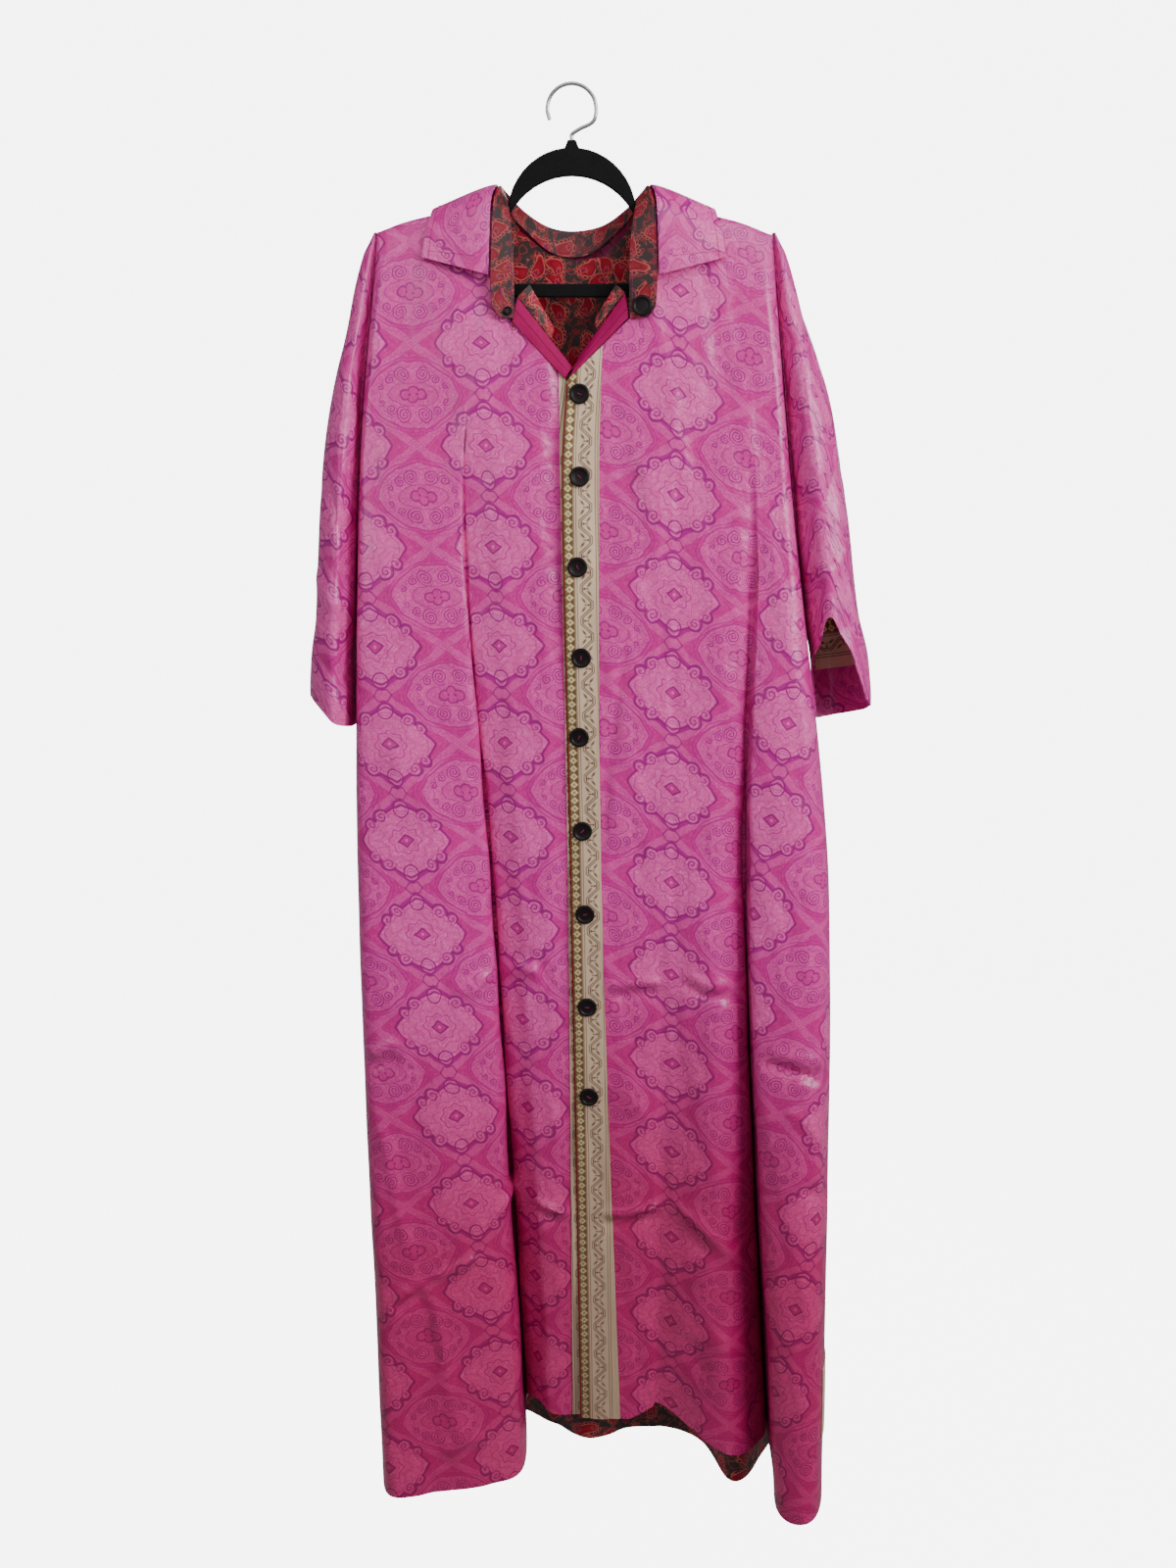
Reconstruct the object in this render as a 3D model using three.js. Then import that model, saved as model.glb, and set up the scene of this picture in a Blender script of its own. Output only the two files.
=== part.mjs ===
// A long kaftan of patterned satin on a flat clothes hanger.
// Millimetres, +Z up, the front faces -Y. The origin is the inside top of the hanger's hook,
// where a rail carries it. "Left" and "right" in names are the wearer's: the wearer's right
// lies at negative X.
import * as THREE from "three";

// Driving sizes
const CLOTH = 1.5; // outer cloth with its lining
const THIN = 0.8; // border, facing and lining strips
const COLLAR = 1.6; // collar cloth with its interlining
const SEAM = 0.4; // space between pieces at a seam
const HEIGHTS = { chest: -380, waist: -800 }; // the heights that the fold tables name
const ARMPIT = -560;
const SHOULDER_ENDS = { right: -193, left: 199 };
const BUTTON = { radius: 10.15, thick: 3, rim: 1.2 };
const HANGER = {
  halfSpan: 188, thick: 7, bevel: 1.4, archOuter: 64, archInner: 70, archTop: -58, archInnerTop: -85,
};
const HOOK = { wire: 1.9, radius: 24, sides: 8, steps: 32 };

const clamp01 = (t) => Math.min(1, Math.max(0, t));
const smooth = (t) => clamp01(t) ** 2 * (3 - 2 * clamp01(t));
const mix = (a, b, t) => a + (b - a) * t;
const vec = (x, y, z) => new THREE.Vector3(x, y, z);

// The smooth curve through values at rising stations, read at one station.
function curveAt(stations, values, s) {
  const last = stations.length - 1;
  const next = s >= stations[last] ? last : stations.findIndex((v) => v > s);
  const i = Math.min(last - 1, Math.max(0, next - 1));
  const slope = (k) => {
    const a = Math.max(0, k - 1);
    const b = Math.min(last, k + 1);
    return (values[b] - values[a]) / (stations[b] - stations[a]);
  };
  const span = stations[i + 1] - stations[i];
  const t = (s - stations[i]) / span;
  const t2 = t * t;
  const t3 = t2 * t;
  return (
    (2 * t3 - 3 * t2 + 1) * values[i] +
    (t3 - 2 * t2 + t) * span * slope(i) +
    (3 * t2 - 2 * t3) * values[i + 1] +
    (t3 - t2) * span * slope(i + 1)
  );
}

// A column of a table whose rows run downwards, read at a height.
const column = (table, name, z) =>
  curveAt(
    table.map((row) => -row.z),
    table.map((row) => row[name]),
    Math.min(-table.at(-1).z, Math.max(-table[0].z, -z)),
  );

// How far the plain front and back stand from the hanger's plane, and how wide the armhole gapes.
const BODY = [
  { z: -100, front: 26, back: 20, armhole: 4, seam: 0 },
  { z: -230, front: 28, back: 22, armhole: 8, seam: 0 },
  { z: -380, front: 32, back: 26, armhole: 10, seam: 0 },
  { z: ARMPIT, front: 36, back: 30, armhole: 0, seam: 1 },
  { z: -900, front: 36, back: 36, armhole: 0, seam: 4 },
  { z: -1200, front: 30, back: 42, armhole: 0, seam: 6 },
  { z: -1500, front: 24, back: 46, armhole: 0, seam: 8 },
];
// The outer surface of the cloth along the top of the shoulders.
const SHOULDER = [
  { x: 66, z: -109.8 },
  { x: 100, z: -114.8 },
  { x: 140, z: -122.3 },
  { x: 170, z: -129.8 },
  { x: 200, z: -141.5 },
];
const shoulderZ = (x) =>
  curveAt(
    SHOULDER.map((row) => row.x),
    SHOULDER.map((row) => row.z),
    Math.min(200, Math.max(66, Math.abs(x))),
  );
const gape = (z) => SEAM / 2 + Math.max(0, column(BODY, "armhole", z));
const RIDGE = { half: HANGER.thick / 2 + SEAM + CLOTH + 0.6, drop: 5, settle: 70, bottom: -200, seamReach: 12 };

// The plain surface's distance from the hanger's plane: it rounds the shoulder, then stands away.
function plainDepth(side, x, z) {
  const below = Math.max(0, shoulderZ(x) - z);
  const round = Math.sqrt(1 - (1 - clamp01(below / RIDGE.drop)) ** 2);
  return SEAM / 2 + RIDGE.half * round + column(BODY, side, z) * (1 - Math.exp(-below / RIDGE.settle));
}

// A line of the fold tables runs down the cloth from the top edge to the hem.
//   top         where it starts: 0 at the first corner of the panel's top edge, 1 at the next
//   chest..hem  its x at those heights
//   hug         0 on the side seam, 1 on the open front or back
//   out         how far it stands out from the plain surface at the hem
//   from, low   the heights where its fold begins and where its hem lies
//   cuts        columns of cloth from this line to the next
const RIGHT_FRONT = {
  side: "front",
  topEdge: [
    vec(SHOULDER_ENDS.right, 0, 0), vec(-68, 0, 0), vec(-62, 0, -150), vec(-60, 0, -190),
    vec(-60, 0, -226), vec(-5, 0, -284), vec(26, 0, -293),
  ],
  lines: [
    { line: "side seam", top: 0, chest: -216, waist: -223, hem: -206, hug: 0, out: 0, from: -600, low: -1478, cuts: 2 },
    { line: "side turn", top: 0.02, chest: -213, waist: -226, hem: -214, hug: 0.5, out: 20, from: -420, low: -1480, cuts: 2 },
    { line: "side front", top: 0.12, chest: -203, waist: -212, hem: -199, hug: 1, out: 52, from: -350, low: -1482, cuts: 2 },
    { line: "left crest", top: 0.45, chest: -160, waist: -164, hem: -156, hug: 1, out: 46, from: -300, low: -1482, cuts: 2 },
    { line: "crest fall", top: 0.72, chest: -128, waist: -116, hem: -100, hug: 1, out: 32, from: -300, low: -1481, cuts: 2 },
    { line: "fold edge", top: 0.84, chest: -115, waist: -94, hem: -66, hug: 1, out: 2, from: -300, low: -1476, cuts: 2 },
    { line: "fold", top: 0.92, chest: -105, waist: -83, hem: -60, hug: 1, out: -62, from: -280, low: -1440, cuts: 2 },
    { line: "fold end", top: 1, chest: -94, waist: -72, hem: -46, hug: 1, out: -40, from: -280, low: -1404, cuts: 1 },
    { line: "neck point", top: 1.11, chest: -84, waist: -64, hem: -38, hug: 1, out: -12, from: -280, low: -1402, cuts: 2 },
    { line: "neck side", top: 2.6, chest: -66, waist: -51, hem: -28, hug: 1, out: 0, from: -600, low: -1408, cuts: 1 },
    { line: "flat", top: 4, chest: -48, waist: -36, hem: -18, hug: 1, out: 2, from: -600, low: -1412, cuts: 2 },
    { line: "border line", top: 4.85, chest: -12, waist: -5, hem: -1, hug: 1, out: 0, from: -600, low: -1415, cuts: 2 },
    { line: "under edge", top: 6, chest: 18, waist: 23, hem: 34, hug: 1, out: 0, from: -600, low: -1414, cuts: 0 },
  ],
};
const LEFT_FRONT = {
  side: "front",
  topEdge: [
    vec(SHOULDER_ENDS.left, 0, 0), vec(68, 0, 0), vec(62, 0, -150), vec(60, 0, -190),
    vec(58, 0, -222), vec(-4, 0, -282),
  ],
  lines: [
    { line: "side seam", top: 0, chest: 222, waist: 266, hem: 266, hug: 0, out: 0, from: -600, low: -1474, cuts: 2 },
    { line: "side turn", top: 0.02, chest: 219, waist: 268, hem: 277, hug: 0.5, out: 44, from: -420, low: -1484, cuts: 2 },
    { line: "pillar front", top: 0.1, chest: 208, waist: 247, hem: 262, hug: 1, out: 74, from: -380, low: -1496, cuts: 2 },
    { line: "pillar crest", top: 0.2, chest: 198, waist: 220, hem: 240, hug: 1, out: 76, from: -380, low: -1500, cuts: 2 },
    { line: "pillar edge", top: 0.28, chest: 189, waist: 191, hem: 224, hug: 1, out: 54, from: -400, low: -1494, cuts: 2 },
    { line: "pillar back", top: 0.33, chest: 184, waist: 184, hem: 219, hug: 1, out: 12, from: -430, low: -1478, cuts: 2 },
    { line: "pocket", top: 0.38, chest: 179, waist: 182, hem: 220, hug: 1, out: -36, from: -430, low: -1462, cuts: 2 },
    { line: "pocket end", top: 0.45, chest: 170, waist: 168, hem: 200, hug: 1, out: -30, from: -430, low: -1450, cuts: 2 },
    { line: "right crest", top: 0.62, chest: 146, waist: 146, hem: 168, hug: 1, out: 30, from: -500, low: -1443, cuts: 2 },
    { line: "press crease", top: 0.88, chest: 106, waist: 102, hem: 100, hug: 1, out: 0, from: -600, low: -1401, cuts: 1 },
    { line: "neck corner", top: 1, chest: 92, waist: 87, hem: 88, hug: 1, out: 0, from: -600, low: -1404, cuts: 1 },
    { line: "neck point", top: 1.11, chest: 84, waist: 77, hem: 80, hug: 1, out: 2, from: -600, low: -1408, cuts: 2 },
    { line: "neck side", top: 2.6, chest: 64, waist: 61, hem: 68, hug: 1, out: 3, from: -600, low: -1414, cuts: 1 },
    { line: "collar end", top: 4, chest: 46, waist: 48, hem: 62, hug: 1, out: 3, from: -600, low: -1417, cuts: 1 },
    { line: "border line", top: 4.45, chest: 27, waist: 30, hem: 52, hug: 1, out: 2, from: -600, low: -1417, cuts: 3 },
    { line: "over edge", top: 5, chest: -9, waist: -1, hem: 9, hug: 1, out: 0, from: -600, low: -1415, cuts: 0 },
  ],
};
const BACK = {
  side: "back",
  topEdge: [
    vec(SHOULDER_ENDS.right, 0, 0), vec(-68, 0, 0), vec(-52, 0, -136), vec(-24, 0, -158), vec(5, 0, -164),
    vec(34, 0, -160), vec(56, 0, -136), vec(68, 0, 0), vec(SHOULDER_ENDS.left, 0, 0),
  ],
  lines: [
    { line: "right seam", top: 0, chest: -216, waist: -223, hem: -206, hug: 0, out: 0, from: -600, low: -1478, cuts: 2 },
    { line: "right turn", top: 0.02, chest: -213, waist: -226, hem: -212, hug: 0.5, out: 16, from: -600, low: -1480, cuts: 2 },
    { line: "right side", top: 0.12, chest: -200, waist: -208, hem: -188, hug: 1, out: 20, from: -500, low: -1482, cuts: 2 },
    { line: "right crest", top: 0.5, chest: -140, waist: -140, hem: -120, hug: 1, out: 52, from: -400, low: -1484, cuts: 2 },
    { line: "crest fall", top: 0.8, chest: -100, waist: -88, hem: -62, hug: 1, out: 50, from: -360, low: -1484, cuts: 1 },
    { line: "right neck", top: 1, chest: -76, waist: -61, hem: -42, hug: 1, out: 34, from: -360, low: -1483, cuts: 1 },
    { line: "neck point", top: 1.15, chest: -68, waist: -53, hem: -34, hug: 1, out: 26, from: -360, low: -1483, cuts: 1 },
    { line: "right fold", top: 2, chest: -48, waist: -36, hem: -20, hug: 1, out: 12, from: -360, low: -1482, cuts: 2 },
    { line: "middle", top: 4, chest: 4, waist: 9, hem: 16, hug: 1, out: -22, from: -360, low: -1478, cuts: 2 },
    { line: "middle crest", top: 6, chest: 48, waist: 53, hem: 60, hug: 1, out: 2, from: -400, low: -1480, cuts: 1 },
    { line: "left neck point", top: 6.85, chest: 64, waist: 71, hem: 78, hug: 1, out: 6, from: -500, low: -1480, cuts: 1 },
    { line: "left neck", top: 7, chest: 74, waist: 82, hem: 90, hug: 1, out: 8, from: -500, low: -1481, cuts: 1 },
    { line: "left rise", top: 7.25, chest: 100, waist: 107, hem: 114, hug: 1, out: 6, from: -500, low: -1482, cuts: 2 },
    { line: "left fold", top: 7.5, chest: 132, waist: 140, hem: 152, hug: 1, out: -14, from: -500, low: -1490, cuts: 2 },
    { line: "left tip", top: 7.75, chest: 168, waist: 178, hem: 184, hug: 1, out: -66, from: -560, low: -1506, cuts: 2 },
    { line: "left side", top: 7.9, chest: 200, waist: 227, hem: 232, hug: 1, out: 6, from: -560, low: -1496, cuts: 2 },
    { line: "left turn", top: 7.98, chest: 219, waist: 267, hem: 274, hug: 0.5, out: 10, from: -600, low: -1478, cuts: 2 },
    { line: "left seam", top: 8, chest: 222, waist: 266, hem: 266, hug: 0, out: 0, from: -600, low: -1474, cuts: 0 },
  ],
};
const FOLD_POWER = 1.35; // a fold opens slowly at first
const UNDERLAP = { lead: 26, run: 20, depth: 3.8 }; // how the under front passes behind the upper one

// The point of a panel's top edge at a station. A zero z asks for the shoulder line.
function topPoint(panel, station) {
  const i = Math.min(panel.topEdge.length - 2, Math.floor(station));
  const ends = [panel.topEdge[i], panel.topEdge[i + 1]];
  const x = mix(ends[0].x, ends[1].x, station - i);
  if (ends.every((p) => p.z === 0)) return vec(x, 0, shoulderZ(x));
  return vec(x, 0, mix(ends[0].z || shoulderZ(ends[0].x), ends[1].z || shoulderZ(ends[1].x), station - i));
}

// One column of cloth: the fold table read between its lines.
function lineAt(panel, s) {
  const stations = panel.lines.map((row, i) => i);
  const read = (name) => curveAt(stations, panel.lines.map((row) => row[name]), s);
  const made = {};
  for (const name of ["chest", "waist", "hem", "out", "from", "low"]) made[name] = read(name);
  made.hug = clamp01(read("hug"));
  const i = Math.min(panel.lines.length - 2, Math.floor(s));
  made.top = topPoint(panel, mix(panel.lines[i].top, panel.lines[i + 1].top, s - i));
  return made;
}

// x of a column at a height.
const columnX = (made, z) =>
  curveAt(
    [-made.top.z, -HEIGHTS.chest, -HEIGHTS.waist, -made.low],
    [made.top.x, made.chest, made.waist, made.hem],
    Math.min(-made.low, Math.max(-made.top.z, -z)),
  );
const overEdge = lineAt(LEFT_FRONT, LEFT_FRONT.lines.length - 1);

// The outer surface of a panel on one of its columns.
function panelPoint(panel, made, z) {
  const x = columnX(made, z);
  const away = panel.side === "front" ? -1 : 1;
  const seam = column(BODY, "seam", z) + away * gape(z);
  const opened = clamp01((made.from - z) / (made.from - made.low)) ** FOLD_POWER;
  let open = plainDepth(panel.side, x, z) + made.out * opened;
  if (panel === RIGHT_FRONT) {
    const under = smooth((x - columnX(overEdge, z) + UNDERLAP.lead) / UNDERLAP.run);
    open -= UNDERLAP.depth * under;
  }
  const share = Math.sin((made.hug * Math.PI) / 2);
  return vec(x, mix(seam, away * open, share), z);
}

const ROWS = [
  0, 0.001, 0.004, 0.012, 0.03, 0.06, 0.1, 0.145, 0.19, 0.25, 0.32, 0.4, 0.5, 0.6, 0.7, 0.79, 0.87, 0.94, 1,
];

// A panel as a grid of points, a list of points for each column, from the top edge to the hem.
function panelGrid(panel) {
  const grid = [];
  panel.lines.forEach((row, i) => {
    const steps = Math.max(1, row.cuts);
    for (let k = 0; k < steps; k++) {
      const made = lineAt(panel, i + k / steps);
      grid.push(ROWS.map((v) => panelPoint(panel, made, mix(made.top.z, made.low, v))));
    }
  });
  return grid;
}
// The grid column where a named line lies.
const columnOf = (panel, name) => {
  let at = 0;
  for (const row of panel.lines) {
    if (row.line === name) return at;
    at += row.cuts;
  }
  throw new Error("no line named " + name);
};

// The outward direction at each grid point. turn is 1 or -1, and picks the side that shows.
function gridNormals(grid, turn) {
  const last = (list) => list.length - 1;
  return grid.map((points, i) =>
    points.map((p, k) => {
      const across = grid[Math.min(last(grid), i + 1)][k].clone().sub(grid[Math.max(0, i - 1)][k]);
      const down = points[Math.min(last(points), k + 1)].clone().sub(points[Math.max(0, k - 1)]);
      return across.cross(down).normalize().multiplyScalar(turn);
    }),
  );
}
function moved(grid, turn, distance) {
  const normals = gridNormals(grid, turn);
  return grid.map((points, i) => points.map((p, k) => p.clone().addScaledVector(normals[i][k], distance)));
}

// A wall between a grid and an inner one, or the same grid moved in by the cloth's thickness.
function wall(grid, turn, thickness, inner = moved(grid, turn, -thickness)) {
  const columns = grid.length;
  const rows = grid[0].length;
  const positions = [...grid.flat(), ...inner.flat()].flatMap((p) => [p.x, p.y, p.z]);
  const faces = [];
  const outerAt = (i, k) => i * rows + k;
  const innerAt = (i, k) => columns * rows + i * rows + k;
  const quad = (a, b, c, d) => faces.push(...(turn > 0 ? [a, b, c, a, c, d] : [a, c, b, a, d, c]));
  for (let i = 0; i + 1 < columns; i++)
    for (let k = 0; k + 1 < rows; k++) {
      quad(outerAt(i, k), outerAt(i + 1, k), outerAt(i + 1, k + 1), outerAt(i, k + 1));
      quad(innerAt(i, k), innerAt(i, k + 1), innerAt(i + 1, k + 1), innerAt(i + 1, k));
    }
  for (let i = 0; i + 1 < columns; i++) {
    quad(outerAt(i, 0), innerAt(i, 0), innerAt(i + 1, 0), outerAt(i + 1, 0));
    quad(outerAt(i, rows - 1), outerAt(i + 1, rows - 1), innerAt(i + 1, rows - 1), innerAt(i, rows - 1));
  }
  for (let k = 0; k + 1 < rows; k++) {
    quad(outerAt(0, k), outerAt(0, k + 1), innerAt(0, k + 1), innerAt(0, k));
    quad(outerAt(columns - 1, k), innerAt(columns - 1, k), innerAt(columns - 1, k + 1), outerAt(columns - 1, k + 1));
  }
  const geometry = new THREE.BufferGeometry();
  geometry.setAttribute("position", new THREE.Float32BufferAttribute(positions, 3));
  geometry.setIndex(faces);
  return geometry;
}

// Colours and finishes
const finish = (color, roughness, metalness = 0) => new THREE.MeshStandardMaterial({ color, roughness, metalness });
const satin = finish("#cf6aa9", 0.42);
const paisley = finish("#7c2a33", 0.5);
const magenta = finish("#c4087c", 0.5);
const border = finish("#b9a37c", 0.5);
const horn = finish("#2b2122", 0.4);
const velvet = finish("#0b0b0d", 0.85);
const steel = finish("#b9babd", 0.25, 1);

const kaftan = new THREE.Group();
function add(name, geometry, material) {
  const mesh = new THREE.Mesh(geometry, material);
  mesh.name = name;
  kaftan.add(mesh);
  return mesh;
}

// Body panels, with the borders and linings that are made from their points
const RIGHT_TURN = -1;
const LEFT_TURN = 1;
const rightFront = panelGrid(RIGHT_FRONT);
const leftFront = panelGrid(LEFT_FRONT);
const back = panelGrid(BACK);
// The inside of a panel, kept to its own side of the shoulder and side seams.
function panelInside(grid, turn, away) {
  const keep = (p, i, k) => {
    const atSeam = [grid[0][k], grid.at(-1)[k]].some((q) => Math.abs(q.x - p.x) < RIDGE.seamReach);
    if (p.z < RIDGE.bottom && !atSeam) return p;
    const seam = p.z < RIDGE.bottom ? column(BODY, "seam", p.z) : 0;
    const x = p.z < RIDGE.bottom ? p.x : Math.min(SHOULDER_ENDS.left, Math.max(SHOULDER_ENDS.right, p.x));
    return vec(x, seam + away * Math.max(SEAM / 2, away * (p.y - seam)), p.z);
  };
  return moved(grid, turn, -CLOTH).map((points, i) => points.map((p, k) => keep(p, i, k)));
}
add("front_right", wall(rightFront, RIGHT_TURN, CLOTH, panelInside(rightFront, RIGHT_TURN, -1)), satin);
add("front_left", wall(leftFront, LEFT_TURN, CLOTH, panelInside(leftFront, LEFT_TURN, -1)), satin);

// The back is one cut of cloth. Its solid is in three, a seam's space apart, so that collision can
// follow the shoulders and each half of the skirt.
const BACK_CUT = { row: 6, column: columnOf(BACK, "middle") };
const drawnIn = (p, q) => p.clone().lerp(q, SEAM / p.distanceTo(q));
function cutOut(grid, [firstColumn, lastColumn], [firstRow, lastRow]) {
  const part = grid.slice(firstColumn, lastColumn + 1).map((points) => points.slice(firstRow, lastRow + 1));
  if (firstRow > 0) for (const points of part) points[0] = drawnIn(points[0], points[1]);
  if (firstColumn > 0) part[0] = part[0].map((p, k) => drawnIn(p, part[1][k]));
  return part;
}
const backInside = panelInside(back, LEFT_TURN, 1);
const lastOf = (list) => list.length - 1;
const BACK_PARTS = [
  { name: "back_shoulders", columns: [0, lastOf(back)], rows: [0, BACK_CUT.row] },
  { name: "back_right", columns: [0, BACK_CUT.column], rows: [BACK_CUT.row, lastOf(ROWS)] },
  { name: "back_left", columns: [BACK_CUT.column, lastOf(back)], rows: [BACK_CUT.row, lastOf(ROWS)] },
];
for (const { name, columns, rows } of BACK_PARTS)
  add(name, wall(cutOut(back, columns, rows), LEFT_TURN, CLOTH, cutOut(backInside, columns, rows)), satin);

const overBorder = leftFront.slice(columnOf(LEFT_FRONT, "border line"));
const underBorder = rightFront.slice(columnOf(RIGHT_FRONT, "border line"));
add("border_left", wall(moved(overBorder, LEFT_TURN, SEAM + THIN), LEFT_TURN, THIN), border);
add("border_right", wall(moved(underBorder, RIGHT_TURN, SEAM + THIN), RIGHT_TURN, THIN), border);

const NECK_LINING = { from: "neck point", to: "left neck point", rows: 10 };
const HEM_LINING_ROWS = 3;
const neckColumns = back.slice(columnOf(BACK, NECK_LINING.from), columnOf(BACK, NECK_LINING.to) + 1);
const lined = (grid) => wall(moved(grid, LEFT_TURN, -CLOTH - SEAM), LEFT_TURN, THIN);
add("lining_neck", lined(neckColumns.map((points) => points.slice(1, NECK_LINING.rows))), paisley);
add("lining_hem", lined(back.slice(1, -1).map((points) => points.slice(-HEM_LINING_ROWS))), paisley);

// Sleeves: each hangs from the armhole beside the body. outer is the outline's x, deep and rear
// are how far the sleeve stands forward and back.
const SLEEVES = [
  {
    name: "sleeve_right", away: -1, turn: 1, panel: RIGHT_FRONT,
    rows: [
      { z: -139, outer: 3, deep: 6, rear: 6 },
      { z: -148, outer: 7, deep: 8, rear: 8 },
      { z: -160, outer: 12, deep: 11, rear: 11 },
      { z: -205, outer: 20, deep: 18, rear: 18 },
      { z: -297, outer: 32, deep: 32, rear: 34 },
      { z: -391, outer: 40, deep: 42, rear: 46 },
      { z: -490, outer: 43, deep: 50, rear: 58 },
      { z: -590, outer: 46, deep: 56, rear: 66 },
      { z: -640, outer: 42, deep: 58, rear: 68 },
    ],
    hem: [-634, -632, -624, -606, -600, -606, -620, -632, -634],
  },
  {
    name: "sleeve_left", away: 1, turn: -1, panel: LEFT_FRONT,
    rows: [
      { z: -139, outer: 3, deep: 6, rear: 6 },
      { z: -148, outer: 7, deep: 8, rear: 8 },
      { z: -160, outer: 12, deep: 11, rear: 11 },
      { z: -205, outer: 21, deep: 18, rear: 18 },
      { z: -297, outer: 44, deep: 32, rear: 34 },
      { z: -391, outer: 55, deep: 42, rear: 46 },
      { z: -490, outer: 57, deep: 50, rear: 58 },
      { z: -590, outer: 60, deep: 54, rear: 66 },
      { z: -650, outer: 52, deep: 54, rear: 68 },
    ],
    hem: [-566, -552, -518, -600, -616, -628, -636, -634, -624],
  },
];
// The sleeve's section, from the front of the armhole round the outside to its back: out is a
// share of the sleeve's width and depth a share of how deep it is there.
const SLEEVE_SECTION = [
  { out: 0, depth: 0 },
  { out: 0.1, depth: -0.52 },
  { out: 0.42, depth: -1 },
  { out: 0.86, depth: -0.66 },
  { out: 1, depth: 0 },
  { out: 0.86, depth: 0.66 },
  { out: 0.45, depth: 1 },
  { out: 0.1, depth: 0.55 },
  { out: 0, depth: 0 },
];
const SLEEVE_COLUMNS = 20;
const SLEEVE_ROWS = [0, 0.018, 0.045, 0.09, 0.15, 0.23, 0.32, 0.42, 0.52, 0.62, 0.72, 0.81, 0.9, 1];
const SLEEVE_CLEARANCE = 2.6; // between the sleeve and the body below the armpit
function sleevePoint(sleeve, u, v) {
  const stations = SLEEVE_SECTION.map((row, i) => i);
  const s = u * (stations.length - 1);
  const out = curveAt(stations, SLEEVE_SECTION.map((row) => row.out), s);
  const depth = curveAt(stations, SLEEVE_SECTION.map((row) => row.depth), s);
  const z = mix(sleeve.rows[0].z, curveAt(stations, sleeve.hem, s), v);
  const bodyX = columnX(lineAt(sleeve.panel, 0), z);
  const below = smooth((ARMPIT + 40 - z) / 40);
  const startX = bodyX + sleeve.away * (2 * SEAM + SLEEVE_CLEARANCE * below);
  const width = column(sleeve.rows, "outer", z);
  const reach = column(sleeve.rows, depth < 0 ? "deep" : "rear", z);
  const half = u < 0.5 ? -1 : 1;
  const least = gape(z) * (1 - smooth(out / 0.3));
  const y = column(BODY, "seam", z) + half * Math.max(least, Math.abs(depth) * reach);
  return vec(startX + sleeve.away * width * Math.max(0, out), y, z);
}
// The inside of a sleeve, kept clear of the body's side.
function sleeveInside(sleeve, grid) {
  const edge = (z) => sleeve.away * columnX(lineAt(sleeve.panel, 0), z) + SEAM;
  const keep = (p) => vec(sleeve.away * Math.max(edge(p.z), sleeve.away * p.x), p.y, p.z);
  return moved(grid, sleeve.turn, -CLOTH).map((points) => points.map(keep));
}
const sleeveGrids = SLEEVES.map((sleeve) => {
  const grid = [];
  for (let i = 0; i <= SLEEVE_COLUMNS; i++)
    grid.push(SLEEVE_ROWS.map((v) => sleevePoint(sleeve, i / SLEEVE_COLUMNS, v)));
  add(sleeve.name, wall(grid, sleeve.turn, CLOTH, sleeveInside(sleeve, grid)), satin);
  return grid;
});
// The beige piece that shows inside the left sleeve's end, and the one on the side by the hem
const CUFF_PATCH = { columns: [11, 18], rows: [10, 13] };
const cuffInside = sleeveGrids[1].slice(...CUFF_PATCH.columns).map((points) => points.slice(...CUFF_PATCH.rows));
add("border_sleeve", wall(moved(cuffInside, SLEEVES[1].turn, -CLOTH - SEAM), SLEEVES[1].turn, THIN), border);
const SIDE_PATCH = { columns: [1, 4], rows: [16, 18] };
const sideStrip = leftFront.slice(...SIDE_PATCH.columns).map((points) => points.slice(...SIDE_PATCH.rows));
add("border_side", wall(moved(sideStrip, LEFT_TURN, SEAM + THIN), LEFT_TURN, THIN), border);

// The collar, laid open. Each row is a place round the neck: seam is on the neck's edge, roll is
// the top of the stand, and edge is the leaf's outer edge. lift is the way the leaf springs up.
const COLLAR_PATH = [
  { seam: vec(-58, -32, -223), roll: vec(-71, -35, -222) },
  { seam: vec(-57, -31, -214), roll: vec(-78, -35.5, -212) },
  { seam: vec(-57, -30, -200), roll: vec(-79.5, -35, -199) },
  { seam: vec(-57, -28, -182), roll: vec(-80, -33, -182), edge: vec(-148, -23, -164), lift: vec(0, -1, 0) },
  { seam: vec(-58, -22, -150), roll: vec(-79, -26.5, -148), edge: vec(-146, -19, -150), lift: vec(0, -1, 0) },
  { seam: vec(-61.5, -14, -124), roll: vec(-77.5, -15.5, -112), edge: vec(-142, -14, -132), lift: vec(0, -0.7, 0.7) },
  { seam: vec(-65, 0, -107), roll: vec(-73, 2, -94.5), edge: vec(-136, 3, -116), lift: vec(0, 0, 1) },
  { seam: vec(-61, 12, -121), roll: vec(-67, 16, -98), edge: vec(-125, 25, -148), lift: vec(-0.4, 0.7, 0.6) },
  { seam: vec(-50, 15.5, -133), roll: vec(-50, 24, -115), edge: vec(-85, 30, -190), lift: vec(0, 1, 0) },
  { seam: vec(-24, 18.5, -155), roll: vec(-26, 28, -130), edge: vec(-42, 34, -202), lift: vec(0, 1, 0) },
  { seam: vec(0, 19.5, -161), roll: vec(0, 29, -135), edge: vec(0, 34, -205), lift: vec(0, 1, 0) },
];
const ROLL_SHIFT = 4; // the collar's left half lies a little further out
const mirror = (v, shift) => v && vec(-v.x + shift, v.y, v.z);
const collarRows = [
  ...COLLAR_PATH,
  ...COLLAR_PATH.slice(0, -1)
    .reverse()
    .map((row) => ({
      seam: mirror(row.seam, 0), roll: mirror(row.roll, ROLL_SHIFT),
      edge: mirror(row.edge, ROLL_SHIFT), lift: mirror(row.lift, 0),
    })),
];
const COLLAR_STEPS = 2; // columns of cloth from one place to the next
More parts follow.
